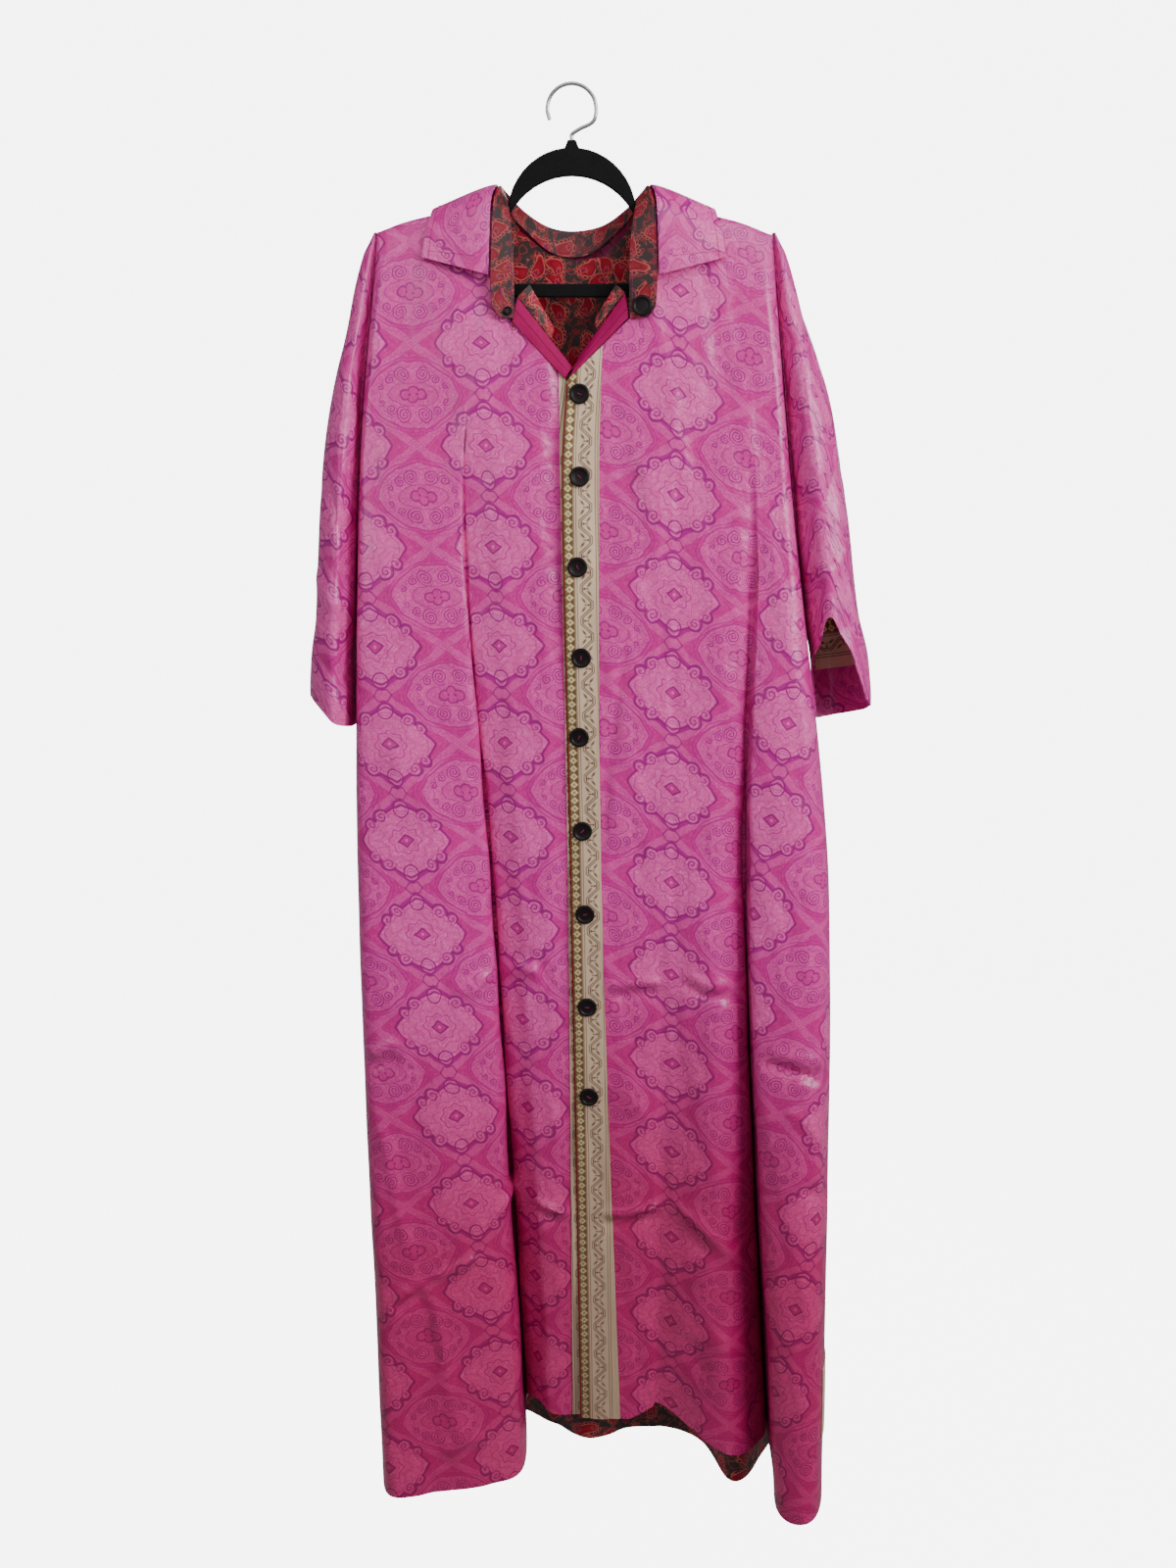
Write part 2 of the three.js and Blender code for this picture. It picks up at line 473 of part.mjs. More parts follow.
const STAND_ROWS = [0, 0.5, 1];
const LEAF = { rows: [0.03, 0.15, 0.4, 0.7, 1], spring: 4 };
function collarGrid(rows, place, shares) {
  const stations = rows.map((row, i) => i);
  const read = (name, s) => {
    const axis = (key) => curveAt(stations, rows.map((row) => row[name][key]), s);
    return vec(axis("x"), axis("y"), axis("z"));
  };
  const grid = [];
  for (let i = 0; i <= (rows.length - 1) * COLLAR_STEPS; i++) {
    const s = i / COLLAR_STEPS;
    grid.push(shares.map((t) => place((name) => read(name, s), t)));
  }
  return grid;
}
const standPlace = (read, t) => read("seam").lerp(read("roll"), t);
const leafPlace = (read, t) => {
  const p = read("roll").lerp(read("edge"), t);
  return p.addScaledVector(read("lift"), SEAM + LEAF.spring * Math.sin(Math.PI * Math.sqrt(t)));
};
const COLLAR_TURN = 1;
const stand = collarGrid(collarRows, standPlace, STAND_ROWS);
const leaf = collarGrid(collarRows.filter((row) => row.edge), leafPlace, LEAF.rows);
add("collar_stand", wall(stand, COLLAR_TURN, COLLAR), satin);
add("collar_leaf", wall(leaf, COLLAR_TURN, COLLAR), satin);
add("lining_stand", wall(moved(stand, COLLAR_TURN, SEAM + THIN), COLLAR_TURN, THIN), paisley);

// Facings and lining strips that turn in from the edges of the V
const V_STRIPS = [
  {
    name: "facing_right", turn: -1, material: magenta,
    outer: [vec(-59, -30.5, -226), vec(-7, -32.5, -281)], inner: [vec(-54, -24, -203), vec(0, -27, -270)],
  },
  {
    name: "facing_left", turn: 1, material: magenta,
    outer: [vec(56, -30.5, -222), vec(-2, -34.5, -280)], inner: [vec(53, -24, -199), vec(9, -27, -258)],
  },
  {
    name: "lining_right", turn: -1, material: paisley,
    outer: [vec(-53.6, -23.6, -202), vec(-20, -26, -242)], inner: [vec(-42, -19, -190), vec(-18, -21, -232)],
  },
  {
    name: "lining_left", turn: 1, material: paisley,
    outer: [vec(52.6, -23.6, -198), vec(24, -25.5, -232)], inner: [vec(44, -19, -190), vec(24, -21, -222)],
  },
];
const STRIP = { steps: 5, across: [0, 0.5, 1], bow: 1.2 };
for (const strip of V_STRIPS) {
  const grid = [];
  for (let i = 0; i <= STRIP.steps; i++) {
    const ends = [strip.outer, strip.inner].map(([a, b]) => a.clone().lerp(b, i / STRIP.steps));
    const bowed = (t) => ends[0].clone().lerp(ends[1], t).add(vec(0, -STRIP.bow * Math.sin(Math.PI * t), 0));
    grid.push(STRIP.across.map(bowed));
  }
  add(strip.name, wall(grid, strip.turn, THIN), strip.material);
}

// Buttons: nine down the front border, one on the stand's left end and one by its right end
const FRONT_BUTTONS = [
  { x: 7.2, z: -296 }, { x: 7.2, z: -377 }, { x: 5.1, z: -467 }, { x: 9, z: -559 }, { x: 7, z: -641 },
  { x: 9.9, z: -740 }, { x: 12.9, z: -829 }, { x: 15, z: -931 }, { x: 17.1, z: -1032 },
];
const BUTTON_SEAT = 0.3;
function buttonGeometry() {
  const { radius, thick, rim } = BUTTON;
  const profile = [[0, 0], [radius, 0], [radius, thick - 0.6], [radius - 0.8, thick], [radius - 2.4, thick]];
  profile.push([radius - 3.4, thick - rim], [0, thick - rim]);
  return new THREE.LatheGeometry(profile.map(([r, h]) => new THREE.Vector2(r, h)), 16);
}
// The point of a grid nearest a place seen from the front, and the outward direction there.
function onGrid(grid, turn, x, z) {
  const normals = gridNormals(grid, turn);
  let best = { gap: Infinity };
  for (let i = 0; i + 1 < grid.length; i++)
    for (let k = 0; k + 1 < grid[i].length; k++)
      for (let a = 0; a <= 1; a += 0.125)
        for (let b = 0; b <= 1; b += 0.0625) {
          const row = (g, at) => g[i][at].clone().lerp(g[i + 1][at], a);
          const blend = (g) => row(g, k).lerp(row(g, k + 1), b);
          const p = blend(grid);
          const gap = Math.hypot(p.x - x, p.z - z);
          if (gap < best.gap) best = { gap, p, normal: blend(normals).normalize() };
        }
  return best;
}
function addButton(name, grid, turn, x, z, lift) {
  const seat = onGrid(grid, turn, x, z);
  const geometry = buttonGeometry();
  geometry.applyQuaternion(new THREE.Quaternion().setFromUnitVectors(vec(0, 1, 0), seat.normal));
  geometry.translate(...seat.p.addScaledVector(seat.normal, lift).toArray());
  add(name, geometry, horn);
}
const overTop = moved(overBorder, LEFT_TURN, SEAM + THIN);
FRONT_BUTTONS.forEach((at, i) => addButton(`button_${i + 1}`, overTop, LEFT_TURN, at.x, at.z, BUTTON_SEAT));
const standTop = moved(stand, COLLAR_TURN, SEAM + THIN);
addButton("button_collar", standTop, COLLAR_TURN, 69.5, -211, BUTTON_SEAT);

// The hanger: an arch between two arms, with a bar below, cut from one flat piece
function mirrored(half) {
  const other = half.map(([x, z]) => [-x, z]);
  const back = half.filter(([x]) => x > 0).reverse();
  return [...other, ...back].map(([x, z]) => new THREE.Vector2(x, z));
}
const armTop = (x) => shoulderZ(x) - SEAM - CLOTH - 0.8;
function hangerShape() {
  const steps = 9;
  const right = [];
  const centre = HANGER.archTop - HANGER.archOuter;
  right.push([0, HANGER.archTop + 7], [4, HANGER.archTop + 7], [7, HANGER.archTop - 0.4]);
  for (let i = 1; i <= steps; i++) {
    const a = (i / steps) * 1.32 + 0.12;
    right.push([HANGER.archOuter * Math.sin(a), centre + HANGER.archOuter * Math.cos(a)]);
  }
  for (const x of [72, 85, 100, 120, 140, 160, 175]) right.push([x, armTop(x)]);
  right.push([183, armTop(183)], [HANGER.halfSpan, -146], [HANGER.halfSpan - 1, -154]);
  right.push([180, -163], [166, -196], [158, -201]);
  const shape = new THREE.Shape(mirrored(right));
  const inside = [];
  const innerCentre = HANGER.archInnerTop - HANGER.archInner;
  for (let i = 0; i <= steps; i++) {
    const a = (i / steps) * 1.05;
    inside.push([HANGER.archInner * Math.sin(a), innerCentre + HANGER.archInner * Math.cos(a)]);
  }
  for (const x of [74, 100, 130, 160]) inside.push([x, armTop(x) - 21]);
  inside.push([171, -163], [154, -188]);
  shape.holes.push(new THREE.Path(mirrored(inside)));
  return shape;
}
const hangerBody = new THREE.ExtrudeGeometry(hangerShape(), {
  depth: HANGER.thick - 2 * HANGER.bevel,
  bevelThickness: HANGER.bevel,
  bevelSize: HANGER.bevel,
  bevelOffset: -HANGER.bevel,
  bevelSegments: 1,
  curveSegments: 1,
});
hangerBody.rotateX(Math.PI / 2);
hangerBody.translate(0, HANGER.thick / 2 - HANGER.bevel, 0);
add("hanger_body", hangerBody, velvet);

// The hook rises from the hanger's neck and bends over the rail, which touches it at the origin
const hookCentre = HOOK.wire - HOOK.radius;
const hookRoute = [vec(0, 0, HANGER.archTop + 7 + 0.3), vec(0, 0, -46), vec(7, 0, -41)];
for (const degrees of [-28, 0, 30, 60, 90, 120, 150, 180, 205]) {
  const a = (degrees * Math.PI) / 180;
  hookRoute.push(vec(HOOK.radius * Math.cos(a), 0, hookCentre + HOOK.radius * Math.sin(a)));
}
const hookSection = new THREE.Shape();
for (let i = 0; i <= HOOK.sides; i++) {
  const a = (i / HOOK.sides) * 2 * Math.PI;
  const at = [HOOK.wire * Math.cos(a), HOOK.wire * Math.sin(a)];
  if (i === 0) hookSection.moveTo(...at);
  else if (i < HOOK.sides) hookSection.lineTo(...at);
}
add(
  "hanger_hook",
  new THREE.ExtrudeGeometry(hookSection, {
    steps: HOOK.steps,
    bevelEnabled: false,
    extrudePath: new THREE.CatmullRomCurve3(hookRoute),
  }),
  steel,
);

export default kaftan;
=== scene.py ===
import math

import bpy
import numpy as np
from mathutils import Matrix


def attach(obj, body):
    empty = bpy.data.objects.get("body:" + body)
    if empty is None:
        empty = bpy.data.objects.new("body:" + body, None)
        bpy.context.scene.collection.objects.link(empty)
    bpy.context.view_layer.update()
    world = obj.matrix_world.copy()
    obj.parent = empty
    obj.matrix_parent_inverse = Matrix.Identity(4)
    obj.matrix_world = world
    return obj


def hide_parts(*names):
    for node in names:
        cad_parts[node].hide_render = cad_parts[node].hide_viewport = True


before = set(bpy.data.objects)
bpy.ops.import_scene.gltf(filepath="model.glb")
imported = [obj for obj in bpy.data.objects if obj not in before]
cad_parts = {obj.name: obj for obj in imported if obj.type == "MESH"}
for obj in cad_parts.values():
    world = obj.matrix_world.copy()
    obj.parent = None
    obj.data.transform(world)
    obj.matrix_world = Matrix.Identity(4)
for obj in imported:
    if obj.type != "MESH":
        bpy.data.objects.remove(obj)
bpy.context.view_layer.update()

MM = 0.001
CLOTH = 1.5  # outer cloth with its lining
THIN = 0.8  # border, facing and lining strips
COLLAR = 1.6  # collar cloth with its interlining
SEAM = 0.4  # space between pieces at a seam
CHEST, WAIST, ARMPIT = -380, -800, -560
SHOULDER_ENDS = (-193, 199)
HANGER_THICK = 7


def curve_at(stations, values, s):
    """The smooth curve through values at rising stations, read at s."""
    t, v, s = (np.asarray(a, float) for a in (stations, values, s))
    ends = np.arange(len(t))
    low, high = np.maximum(ends - 1, 0), np.minimum(ends + 1, len(t) - 1)
    slope = (v[high] - v[low]) / (t[high] - t[low])
    i = np.clip(np.searchsorted(t, s, side="right") - 1, 0, len(t) - 2)
    span = t[i + 1] - t[i]
    u = (s - t[i]) / span
    ends_part = (2 * u**3 - 3 * u**2 + 1) * v[i] + (3 * u**2 - 2 * u**3) * v[i + 1]
    slopes_part = (u**3 - 2 * u**2 + u) * slope[i] + (u**3 - u**2) * slope[i + 1]
    return ends_part + slopes_part * span


def smooth(t):
    t = np.clip(t, 0, 1)
    return t * t * (3 - 2 * t)


def down(table, name, z):
    """A named column of a table whose rows run downwards, read at heights z."""
    depths = [-row["z"] for row in table]
    depth = np.clip(-np.asarray(z, float), depths[0], depths[-1])
    return curve_at(depths, [row[name] for row in table], depth)


def rows_of(names, *rows):
    keys = names.split()
    return [dict(zip(keys, row)) for row in rows]


# How far the plain front and back stand from the hanger's plane, and how wide the armhole gapes
BODY = rows_of(
    "z front back armhole seam",
    (-100, 26, 20, 4, 0),
    (-230, 28, 22, 8, 0),
    (-380, 32, 26, 10, 0),
    (ARMPIT, 36, 30, 0, 1),
    (-900, 36, 36, 0, 4),
    (-1200, 30, 42, 0, 6),
    (-1500, 24, 46, 0, 8),
)
SHOULDER = ((66, -109.8), (100, -114.8), (140, -122.3), (170, -129.8), (200, -141.5))
# The ridge over the hanger's arms: half its thickness, how far down it is round, how far down the
# cloth takes to settle, and how low and how near an edge the seam's own side is kept
RIDGE = {
    "half": HANGER_THICK / 2 + SEAM + CLOTH + 0.6, "drop": 5, "settle": 70, "bottom": -200, "reach": 12,
}
FOLD_POWER = 1.2  # above 1, a fold opens slowly at first
UNDERLAP = {"lead": 26, "run": 20, "depth": 3.8}  # how the right front sinks behind the left one


def shoulder_z(x):
    xs, zs = zip(*SHOULDER)
    return curve_at(xs, zs, np.clip(np.abs(x), xs[0], xs[-1]))


def gape(z):
    return SEAM / 2 + np.maximum(0, down(BODY, "armhole", z))


def plain_depth(side, x, z):
    """The plain surface's distance from the hanger's plane."""
    below = np.maximum(0, shoulder_z(x) - z)
    rounded = np.sqrt(1 - (1 - np.clip(below / RIDGE["drop"], 0, 1)) ** 2)
    settled = 1 - np.exp(-below / RIDGE["settle"])
    return SEAM / 2 + RIDGE["half"] * rounded + down(BODY, side, z) * settled


# Each line of a panel runs down the cloth from its top edge to the hem. top is its place along the
# top edge, chest to hem its x there, hug 0 on the side seam, out how far it stands out at the hem,
# start and low the heights where its fold begins and its hem lies, cuts the columns to the next.
LINE = "line top chest waist hem hug out start low cuts"
RIGHT_FRONT = {
    "side": "front",
    "top_edge": [(-193, 0), (-68, 0), (-62, -150), (-60, -190), (-60, -226), (-5, -284), (26, -293)],
    "lines": rows_of(
        LINE,
        ("side seam", 0, -216, -223, -206, 0, 0, -600, -1478, 2),
        ("side turn", 0.02, -213, -226, -214, 0.5, 20, -420, -1480, 2),
        ("side front", 0.12, -203, -212, -199, 1, 52, -350, -1482, 2),
        ("left crest", 0.45, -160, -164, -156, 1, 46, -300, -1482, 2),
        ("crest fall", 0.72, -128, -116, -100, 1, 32, -300, -1481, 2),
        ("fold edge", 0.84, -112, -88, -58, 1, 8, -300, -1476, 2),
        ("fold", 0.92, -109, -85.5, -56, 1, -62, -280, -1440, 2),
        ("fold end", 1, -105, -82, -51, 1, -30, -280, -1404, 1),
        ("neck point", 1.11, -84, -64, -38, 1, -12, -280, -1402, 2),
        ("neck side", 2.6, -66, -51, -28, 1, 0, -600, -1408, 1),
        ("flat", 4, -48, -36, -18, 1, 2, -600, -1412, 2),
        ("border line", 4.85, -12, -5, -1, 1, 0, -600, -1415, 2),
        ("under edge", 6, 18, 23, 34, 1, 0, -600, -1414, 0),
    ),
}
LEFT_FRONT = {
    "side": "front",
    "top_edge": [(199, 0), (68, 0), (62, -150), (60, -190), (58, -222), (-4, -282)],
    "lines": rows_of(
        LINE,
        ("side seam", 0, 222, 266, 266, 0, 0, -600, -1474, 2),
        ("side turn", 0.02, 219, 268, 277, 0.5, 44, -420, -1484, 2),
        ("pillar front", 0.1, 208, 247, 262, 1, 74, -380, -1496, 2),
        ("pillar crest", 0.2, 198, 220, 240, 1, 76, -380, -1500, 2),
        ("pillar edge", 0.28, 189, 187, 222, 1, 54, -400, -1494, 2),
        ("pillar back", 0.33, 184, 184, 223, 1, 4, -350, -1478, 2),
        ("pocket", 0.38, 180, 181, 221, 1, -66, -350, -1462, 2),
        ("pocket end", 0.45, 173, 175, 214, 1, -14, -350, -1450, 2),
        ("right crest", 0.62, 146, 146, 168, 1, 30, -500, -1443, 2),
        ("press crease", 0.88, 106, 102, 100, 1, 0, -600, -1401, 1),
        ("neck corner", 1, 92, 87, 88, 1, 0, -600, -1404, 1),
        ("neck point", 1.11, 84, 77, 80, 1, 2, -600, -1408, 2),
        ("neck side", 2.6, 64, 61, 68, 1, 3, -600, -1414, 1),
        ("collar end", 4, 46, 48, 62, 1, 3, -600, -1417, 1),
        ("border line", 4.45, 27, 30, 52, 1, 2, -600, -1417, 3),
        ("over edge", 5, -9, -1, 9, 1, 0, -600, -1415, 0),
    ),
}
BACK = {
    "side": "back",
    "top_edge": [
        (-193, 0), (-68, 0), (-52, -136), (-24, -158), (5, -164),
        (34, -160), (56, -136), (68, 0), (199, 0),
    ],
    "lines": rows_of(
        LINE,
        ("right seam", 0, -216, -223, -206, 0, 0, -600, -1478, 2),
        ("right turn", 0.02, -213, -226, -212, 0.5, 16, -600, -1480, 2),
        ("right side", 0.12, -200, -208, -188, 1, 20, -500, -1482, 2),
        ("right crest", 0.5, -140, -140, -120, 1, 52, -400, -1484, 2),
        ("crest fall", 0.8, -100, -88, -62, 1, 50, -360, -1484, 1),
        ("right neck", 1, -76, -61, -42, 1, 34, -360, -1483, 1),
        ("neck point", 1.15, -68, -53, -34, 1, 26, -360, -1483, 1),
        ("right fold", 2, -48, -36, -20, 1, 12, -360, -1482, 2),
        ("middle", 4, 4, 9, 16, 1, -22, -360, -1478, 2),
        ("middle crest", 6, 48, 53, 60, 1, 2, -400, -1480, 1),
        ("left neck point", 6.85, 64, 71, 78, 1, 6, -500, -1480, 1),
        ("left neck", 7, 74, 82, 90, 1, 8, -500, -1481, 1),
        ("left rise", 7.25, 100, 107, 114, 1, 6, -500, -1482, 2),
        ("left fold", 7.5, 132, 140, 152, 1, -14, -500, -1490, 2),
        ("left tip", 7.75, 168, 178, 184, 1, -66, -560, -1506, 2),
        ("left side", 7.9, 200, 227, 232, 1, 6, -560, -1496, 2),
        ("left turn", 7.98, 219, 267, 274, 0.5, 10, -600, -1478, 2),
        ("left seam", 8, 222, 266, 266, 0, 0, -600, -1474, 0),
    ),
}
READ = ("chest", "waist", "hem", "out", "start", "low", "hug")


def top_point(panel, station):
    """x and z of the panel's top edge at a station. A zero z asks for the shoulder line."""
    edge = panel["top_edge"]
    i = min(len(edge) - 2, int(station))
    share = station - i
    (xa, za), (xb, zb) = edge[i], edge[i + 1]
    x = xa + (xb - xa) * share
    if not za and not zb:
        return x, float(shoulder_z(x))
    za, zb = za or float(shoulder_z(xa)), zb or float(shoulder_z(xb))
    return x, za + (zb - za) * share


def line_at(panel, s):
    """One column of cloth: the fold table read between its lines."""
    lines = panel["lines"]
    places = range(len(lines))
    made = {name: float(curve_at(places, [row[name] for row in lines], s)) for name in READ}
    made["hug"] = min(1, max(0, made["hug"]))
    i = min(len(lines) - 2, int(s))
    top = lines[i]["top"] + (lines[i + 1]["top"] - lines[i]["top"]) * (s - i)
    made["top_x"], made["top_z"] = top_point(panel, top)
    return made


def column_x(made, z):
    knots = [-made["top_z"], -CHEST, -WAIST, -made["low"]]
    values = [made["top_x"], made["chest"], made["waist"], made["hem"]]
    return curve_at(knots, values, np.clip(-z, knots[0], knots[-1]))


OVER_EDGE = line_at(LEFT_FRONT, len(LEFT_FRONT["lines"]) - 1)


def panel_points(panel, made, z):
    x = column_x(made, z)
    away = -1 if panel["side"] == "front" else 1
    seam = down(BODY, "seam", z) + away * gape(z)
    opened = np.clip((made["start"] - z) / (made["start"] - made["low"]), 0, 1) ** FOLD_POWER
    stand = plain_depth(panel["side"], x, z) + made["out"] * opened
    if panel is RIGHT_FRONT:
        under = (x - column_x(OVER_EDGE, z) + UNDERLAP["lead"]) / UNDERLAP["run"]
        stand -= UNDERLAP["depth"] * smooth(under)
    share = math.sin(made["hug"] * math.pi / 2)
    return np.stack([x, seam + (away * stand - seam) * share, z], axis=-1)


# Creases pressed or hung into the cloth: the points they pass (x, z), how high they stand, negative
# for a trough, and how wide they are
FRONT_CREASES = [
    ([(113, -228), (107, -294), (104, -390), (107, -488), (101, -589), (101, -691),
      (104, -796), (107, -904), (111, -1013), (114, -1126), (113, -1241), (106, -1394)], -0.9, 3.2),
    ([(110, -228), (104, -294), (101, -390), (104, -488), (98, -589), (98, -691),
      (101, -796), (104, -904), (108, -1013), (111, -1126), (110, -1241), (103, -1394)], 0.8, 4.5),
    ([(56, -528), (44, -619), (35, -681), (32, -744), (28, -796)], -1.6, 5),
    ([(34, -909), (68, -904), (100, -903)], 2.6, 6),
    ([(36, -922), (68, -917), (98, -914)], -2.2, 7),
    ([(106, -903), (120, -907), (136, -917), (160, -919), (178, -916)], -2, 6),
    ([(118, -894), (140, -903), (165, -906)], 1.6, 6),
    ([(26, -1168), (59, -1167), (100, -1157)], 2.8, 6),
    ([(26, -1182), (59, -1179), (100, -1170)], -2.4, 8),
    ([(106, -1150), (123, -1163), (147, -1183), (170, -1206), (186, -1222)], 2.4, 8),
    ([(112, -1176), (130, -1196), (152, -1214)], -1.8, 10),
    ([(196, -984), (226, -990), (252, -998), (270, -1006)], -3.2, 6),
    ([(200, -970), (228, -975), (256, -980), (272, -986)], 1.8, 8),
    ([(222, -1030), (250, -1050), (268, -1080)], 1.5, 10),
    ([(240, -1120), (262, -1128), (274, -1140)], -2, 8),
    ([(150, -1290), (166, -1320), (160, -1350), (140, -1378)], 2.5, 12),
    ([(118, -1300), (136, -1340), (150, -1372)], -2, 10),
    ([(-82, -1166), (-70, -1149), (-62, -1140)], 2, 6),
    ([(-44, -1150), (-27, -1160), (-11, -1169), (0, -1172)], 2.4, 6),
    ([(-46, -1164), (-28, -1173), (-12, -1182)], -1.6, 7),
    ([(-72, -905), (-57, -888), (-41, -890), (-33, -906)], 2, 6),
    ([(-40, -870), (-30, -900), (-20, -905)], -1.6, 7),
    ([(-222, -976), (-206, -972), (-193, -966), (-178, -958)], 2.4, 7),
    ([(-222, -992), (-200, -986), (-182, -980)], -2.2, 8),
    ([(-130, -905), (-107, -909), (-83, -888)], 2, 7),
    ([(-208, -1036), (-199, -1080), (-187, -1148), (-179, -1189), (-165, -1229)], 2, 6),
    ([(-196, -1254), (-178, -1241), (-160, -1229)], 2.4, 5),
    ([(-194, -1266), (-176, -1254), (-160, -1246)], -1.6, 7),
    ([(-158, -1229), (-140, -1224), (-124, -1217), (-100, -1208)], 2.6, 6),
    ([(-157, -1229), (-150, -1264), (-141, -1323), (-134, -1382), (-126, -1418), (-120, -1455)], 2.2, 6),
    ([(-165, -1240), (-159, -1290), (-152, -1340)], -1.8, 9),
    ([(-150, -1440), (-120, -1420), (-90, -1426)], 2, 12),
    ([(-60, -420), (-40, -520), (-30, -620)], -1.2, 14),
    ([(-200, -420), (-180, -500), (-150, -560)], 1.4, 16),
    ([(196, -420), (180, -500), (160, -580)], -1.2, 16),
    ([(-190, -640), (-160, -700), (-130, -730)], 1.2, 14),
    ([(60, -330), (90, -420), (80, -500)], 1, 14),
    ([(40, -1010), (70, -1040), (96, -1090)], 1.2, 14),
    ([(-30, -1010), (-20, -1060), (-14, -1110)], 1.2, 10),
]
BACK_CREASES = [
    ([(0, -175), (2, -420), (6, -700), (10, -1000), (14, -1260), (16, -1470)], 1.3, 4),
    ([(-105, -150), (-108, -420), (-104, -760), (-92, -1100), (-78, -1460)], -1.2, 4),
    ([(112, -150), (116, -480), (122, -840), (128, -1180), (136, -1470)], 1.2, 4),
    ([(-205, -905), (-150, -900), (-60, -908), (0, -902)], 2, 7),
    ([(-200, -922), (-140, -916), (-70, -923), (-10, -918)], -1.6, 8),
    ([(10, -900), (80, -910), (150, -902), (240, -914)], -2, 7),
    ([(20, -886), (90, -893), (160, -888), (236, -896)], 1.6, 8),
    ([(-196, -1168), (-120, -1160), (-40, -1170), (60, -1164), (150, -1174), (250, -1168)], 2.2, 7),
    ([(-190, -1184), (-110, -1177), (-30, -1187), (70, -1182), (160, -1190)], -1.6, 9),
    ([(-180, -330), (-120, -420), (-60, -480)], 1.4, 18),
    ([(180, -330), (130, -430), (70, -500)], 1.4, 18),
    ([(-170, -640), (-140, -720), (-150, -800)], -1.5, 14),
    ([(200, -640), (170, -720), (184, -820)], 1.6, 14),
    ([(40, -560), (20, -640), (34, -740)], -1.2, 16),
    ([(-60, -1010), (-80, -1080), (-66, -1140)], 1.6, 12),
    ([(190, -1010), (210, -1090), (200, -1150)], -1.8, 12),
    ([(-150, -1260), (-130, -1340), (-140, -1430)], 2, 12),
    ([(90, -1270), (110, -1350), (96, -1440)], 1.8, 12),
    ([(210, -1280), (230, -1360), (216, -1440)], -2, 12),
]
SLEEVE_CREASES = [
    ([(-226, -250), (-222, -330), (-232, -400)], 1.2, 9),
    ([(-250, -380), (-236, -420), (-222, -440)], -1.6, 8),
    ([(-262, -470), (-244, -500), (-226, -512)], 1.6, 8),
    ([(-262, -560), (-244, -572), (-228, -590)], -1.4, 8),
    ([(-240, -540), (-238, -590), (-244, -630)], 1.3, 7),
    ([(234, -240), (236, -320), (248, -390)], 1.2, 10),
    ([(270, -360), (256, -400), (240, -416)], -1.8, 8),
    ([(282, -440), (262, -468), (246, -478)], 1.6, 8),
    ([(288, -520), (270, -536), (256, -556)], -1.6, 8),
    ([(262, -520), (266, -560), (262, -610)], 1.4, 8),
]
CREASE_POWER = 1.4  # 2 is a round crease, 1 a sharp one
CREASE_GAIN = 2.2  # how much higher than listed the creases stand
CREASE_END = 0.3  # the share of its length over which a crease dies away
CREASE_TIP = 0.15  # what is left of it at its very end
CALM_BELOW = 60  # how far down from the shoulder the cloth is still drawn smooth

# Slow unevenness of hung cloth: height, then how far apart its waves are across and down
WAVES = [(0.9, 150, 420), (0.7, 86, 260), (0.5, 61, 170), (0.35, 37, 118), (0.25, 23, 74)]
WAVE_LEAN, WAVE_OFFSET = 1.7, 2.1


def crease_relief(creases, x, z):
    total = np.zeros_like(x)
    for points, height, width in creases:
        best, fade, walked = np.full_like(x, 1e9), np.zeros_like(x), 0.0
        p = np.array(points, float)
        lengths = np.hypot(*np.diff(p, axis=0).T)
        for (ax, az), (bx, bz), length in zip(p[:-1], p[1:], lengths):
            t = np.clip(((x - ax) * (bx - ax) + (z - az) * (bz - az)) / length**2, 0, 1)
            gap = np.hypot(x - ax - t * (bx - ax), z - az - t * (bz - az))
            along = walked + t * length
            from_end = np.minimum(along, lengths.sum() - along)
            taper = smooth(from_end / (CREASE_END * lengths.sum()) + CREASE_TIP)
            fade = np.where(gap < best, taper, fade)
            best = np.minimum(best, gap)
            walked += length
        total += CREASE_GAIN * height * fade * np.exp(-((best / width) ** CREASE_POWER))
    return total


def wave_relief(x, z, phase):
    total = np.zeros_like(x)
    for i, (height, across, fall) in enumerate(WAVES):
        lean = math.sin(WAVE_LEAN * i + phase)
        turns = x / across + lean * z / fall
        total += height * np.sin(2 * math.pi * turns + WAVE_OFFSET * i + phase)
    return total


def grid_normals(grid, turn):
    """The outward direction at each grid point; turn is 1 or -1 and picks the side that shows."""
    padded = np.pad(grid, ((1, 1), (1, 1), (0, 0)), mode="edge")
    across = padded[2:, 1:-1] - padded[:-2, 1:-1]
    along = padded[1:-1, 2:] - padded[1:-1, :-2]
    normals = np.cross(across, along) * turn
    return normals / np.maximum(np.linalg.norm(normals, axis=-1, keepdims=True), 1e-9)


def moved(grid, turn, distance):
    return grid + grid_normals(grid, turn) * distance


FINE = 5  # columns of the scene's cloth for one of the table's
# The rows' places from the top edge, 0, to the hem, 1, closer together on the shoulder's round
ROW_SHARES = np.concatenate([
    [0, 0.0005, 0.0012, 0.0022, 0.0036, 0.0055, 0.008, 0.0115],
    np.linspace(0.016, 1, 335),
])


def stations_of(panel):
    found = []
    for i, row in enumerate(panel["lines"]):
        steps = max(1, row["cuts"] * FINE)
        found += [i + k / steps for k in range(steps)]
    return found


def column_of(panel, name):
    at = 0
    for row in panel["lines"]:
        if row["line"] == name:
            return at
        at += row["cuts"] * FINE
    raise ValueError(name)


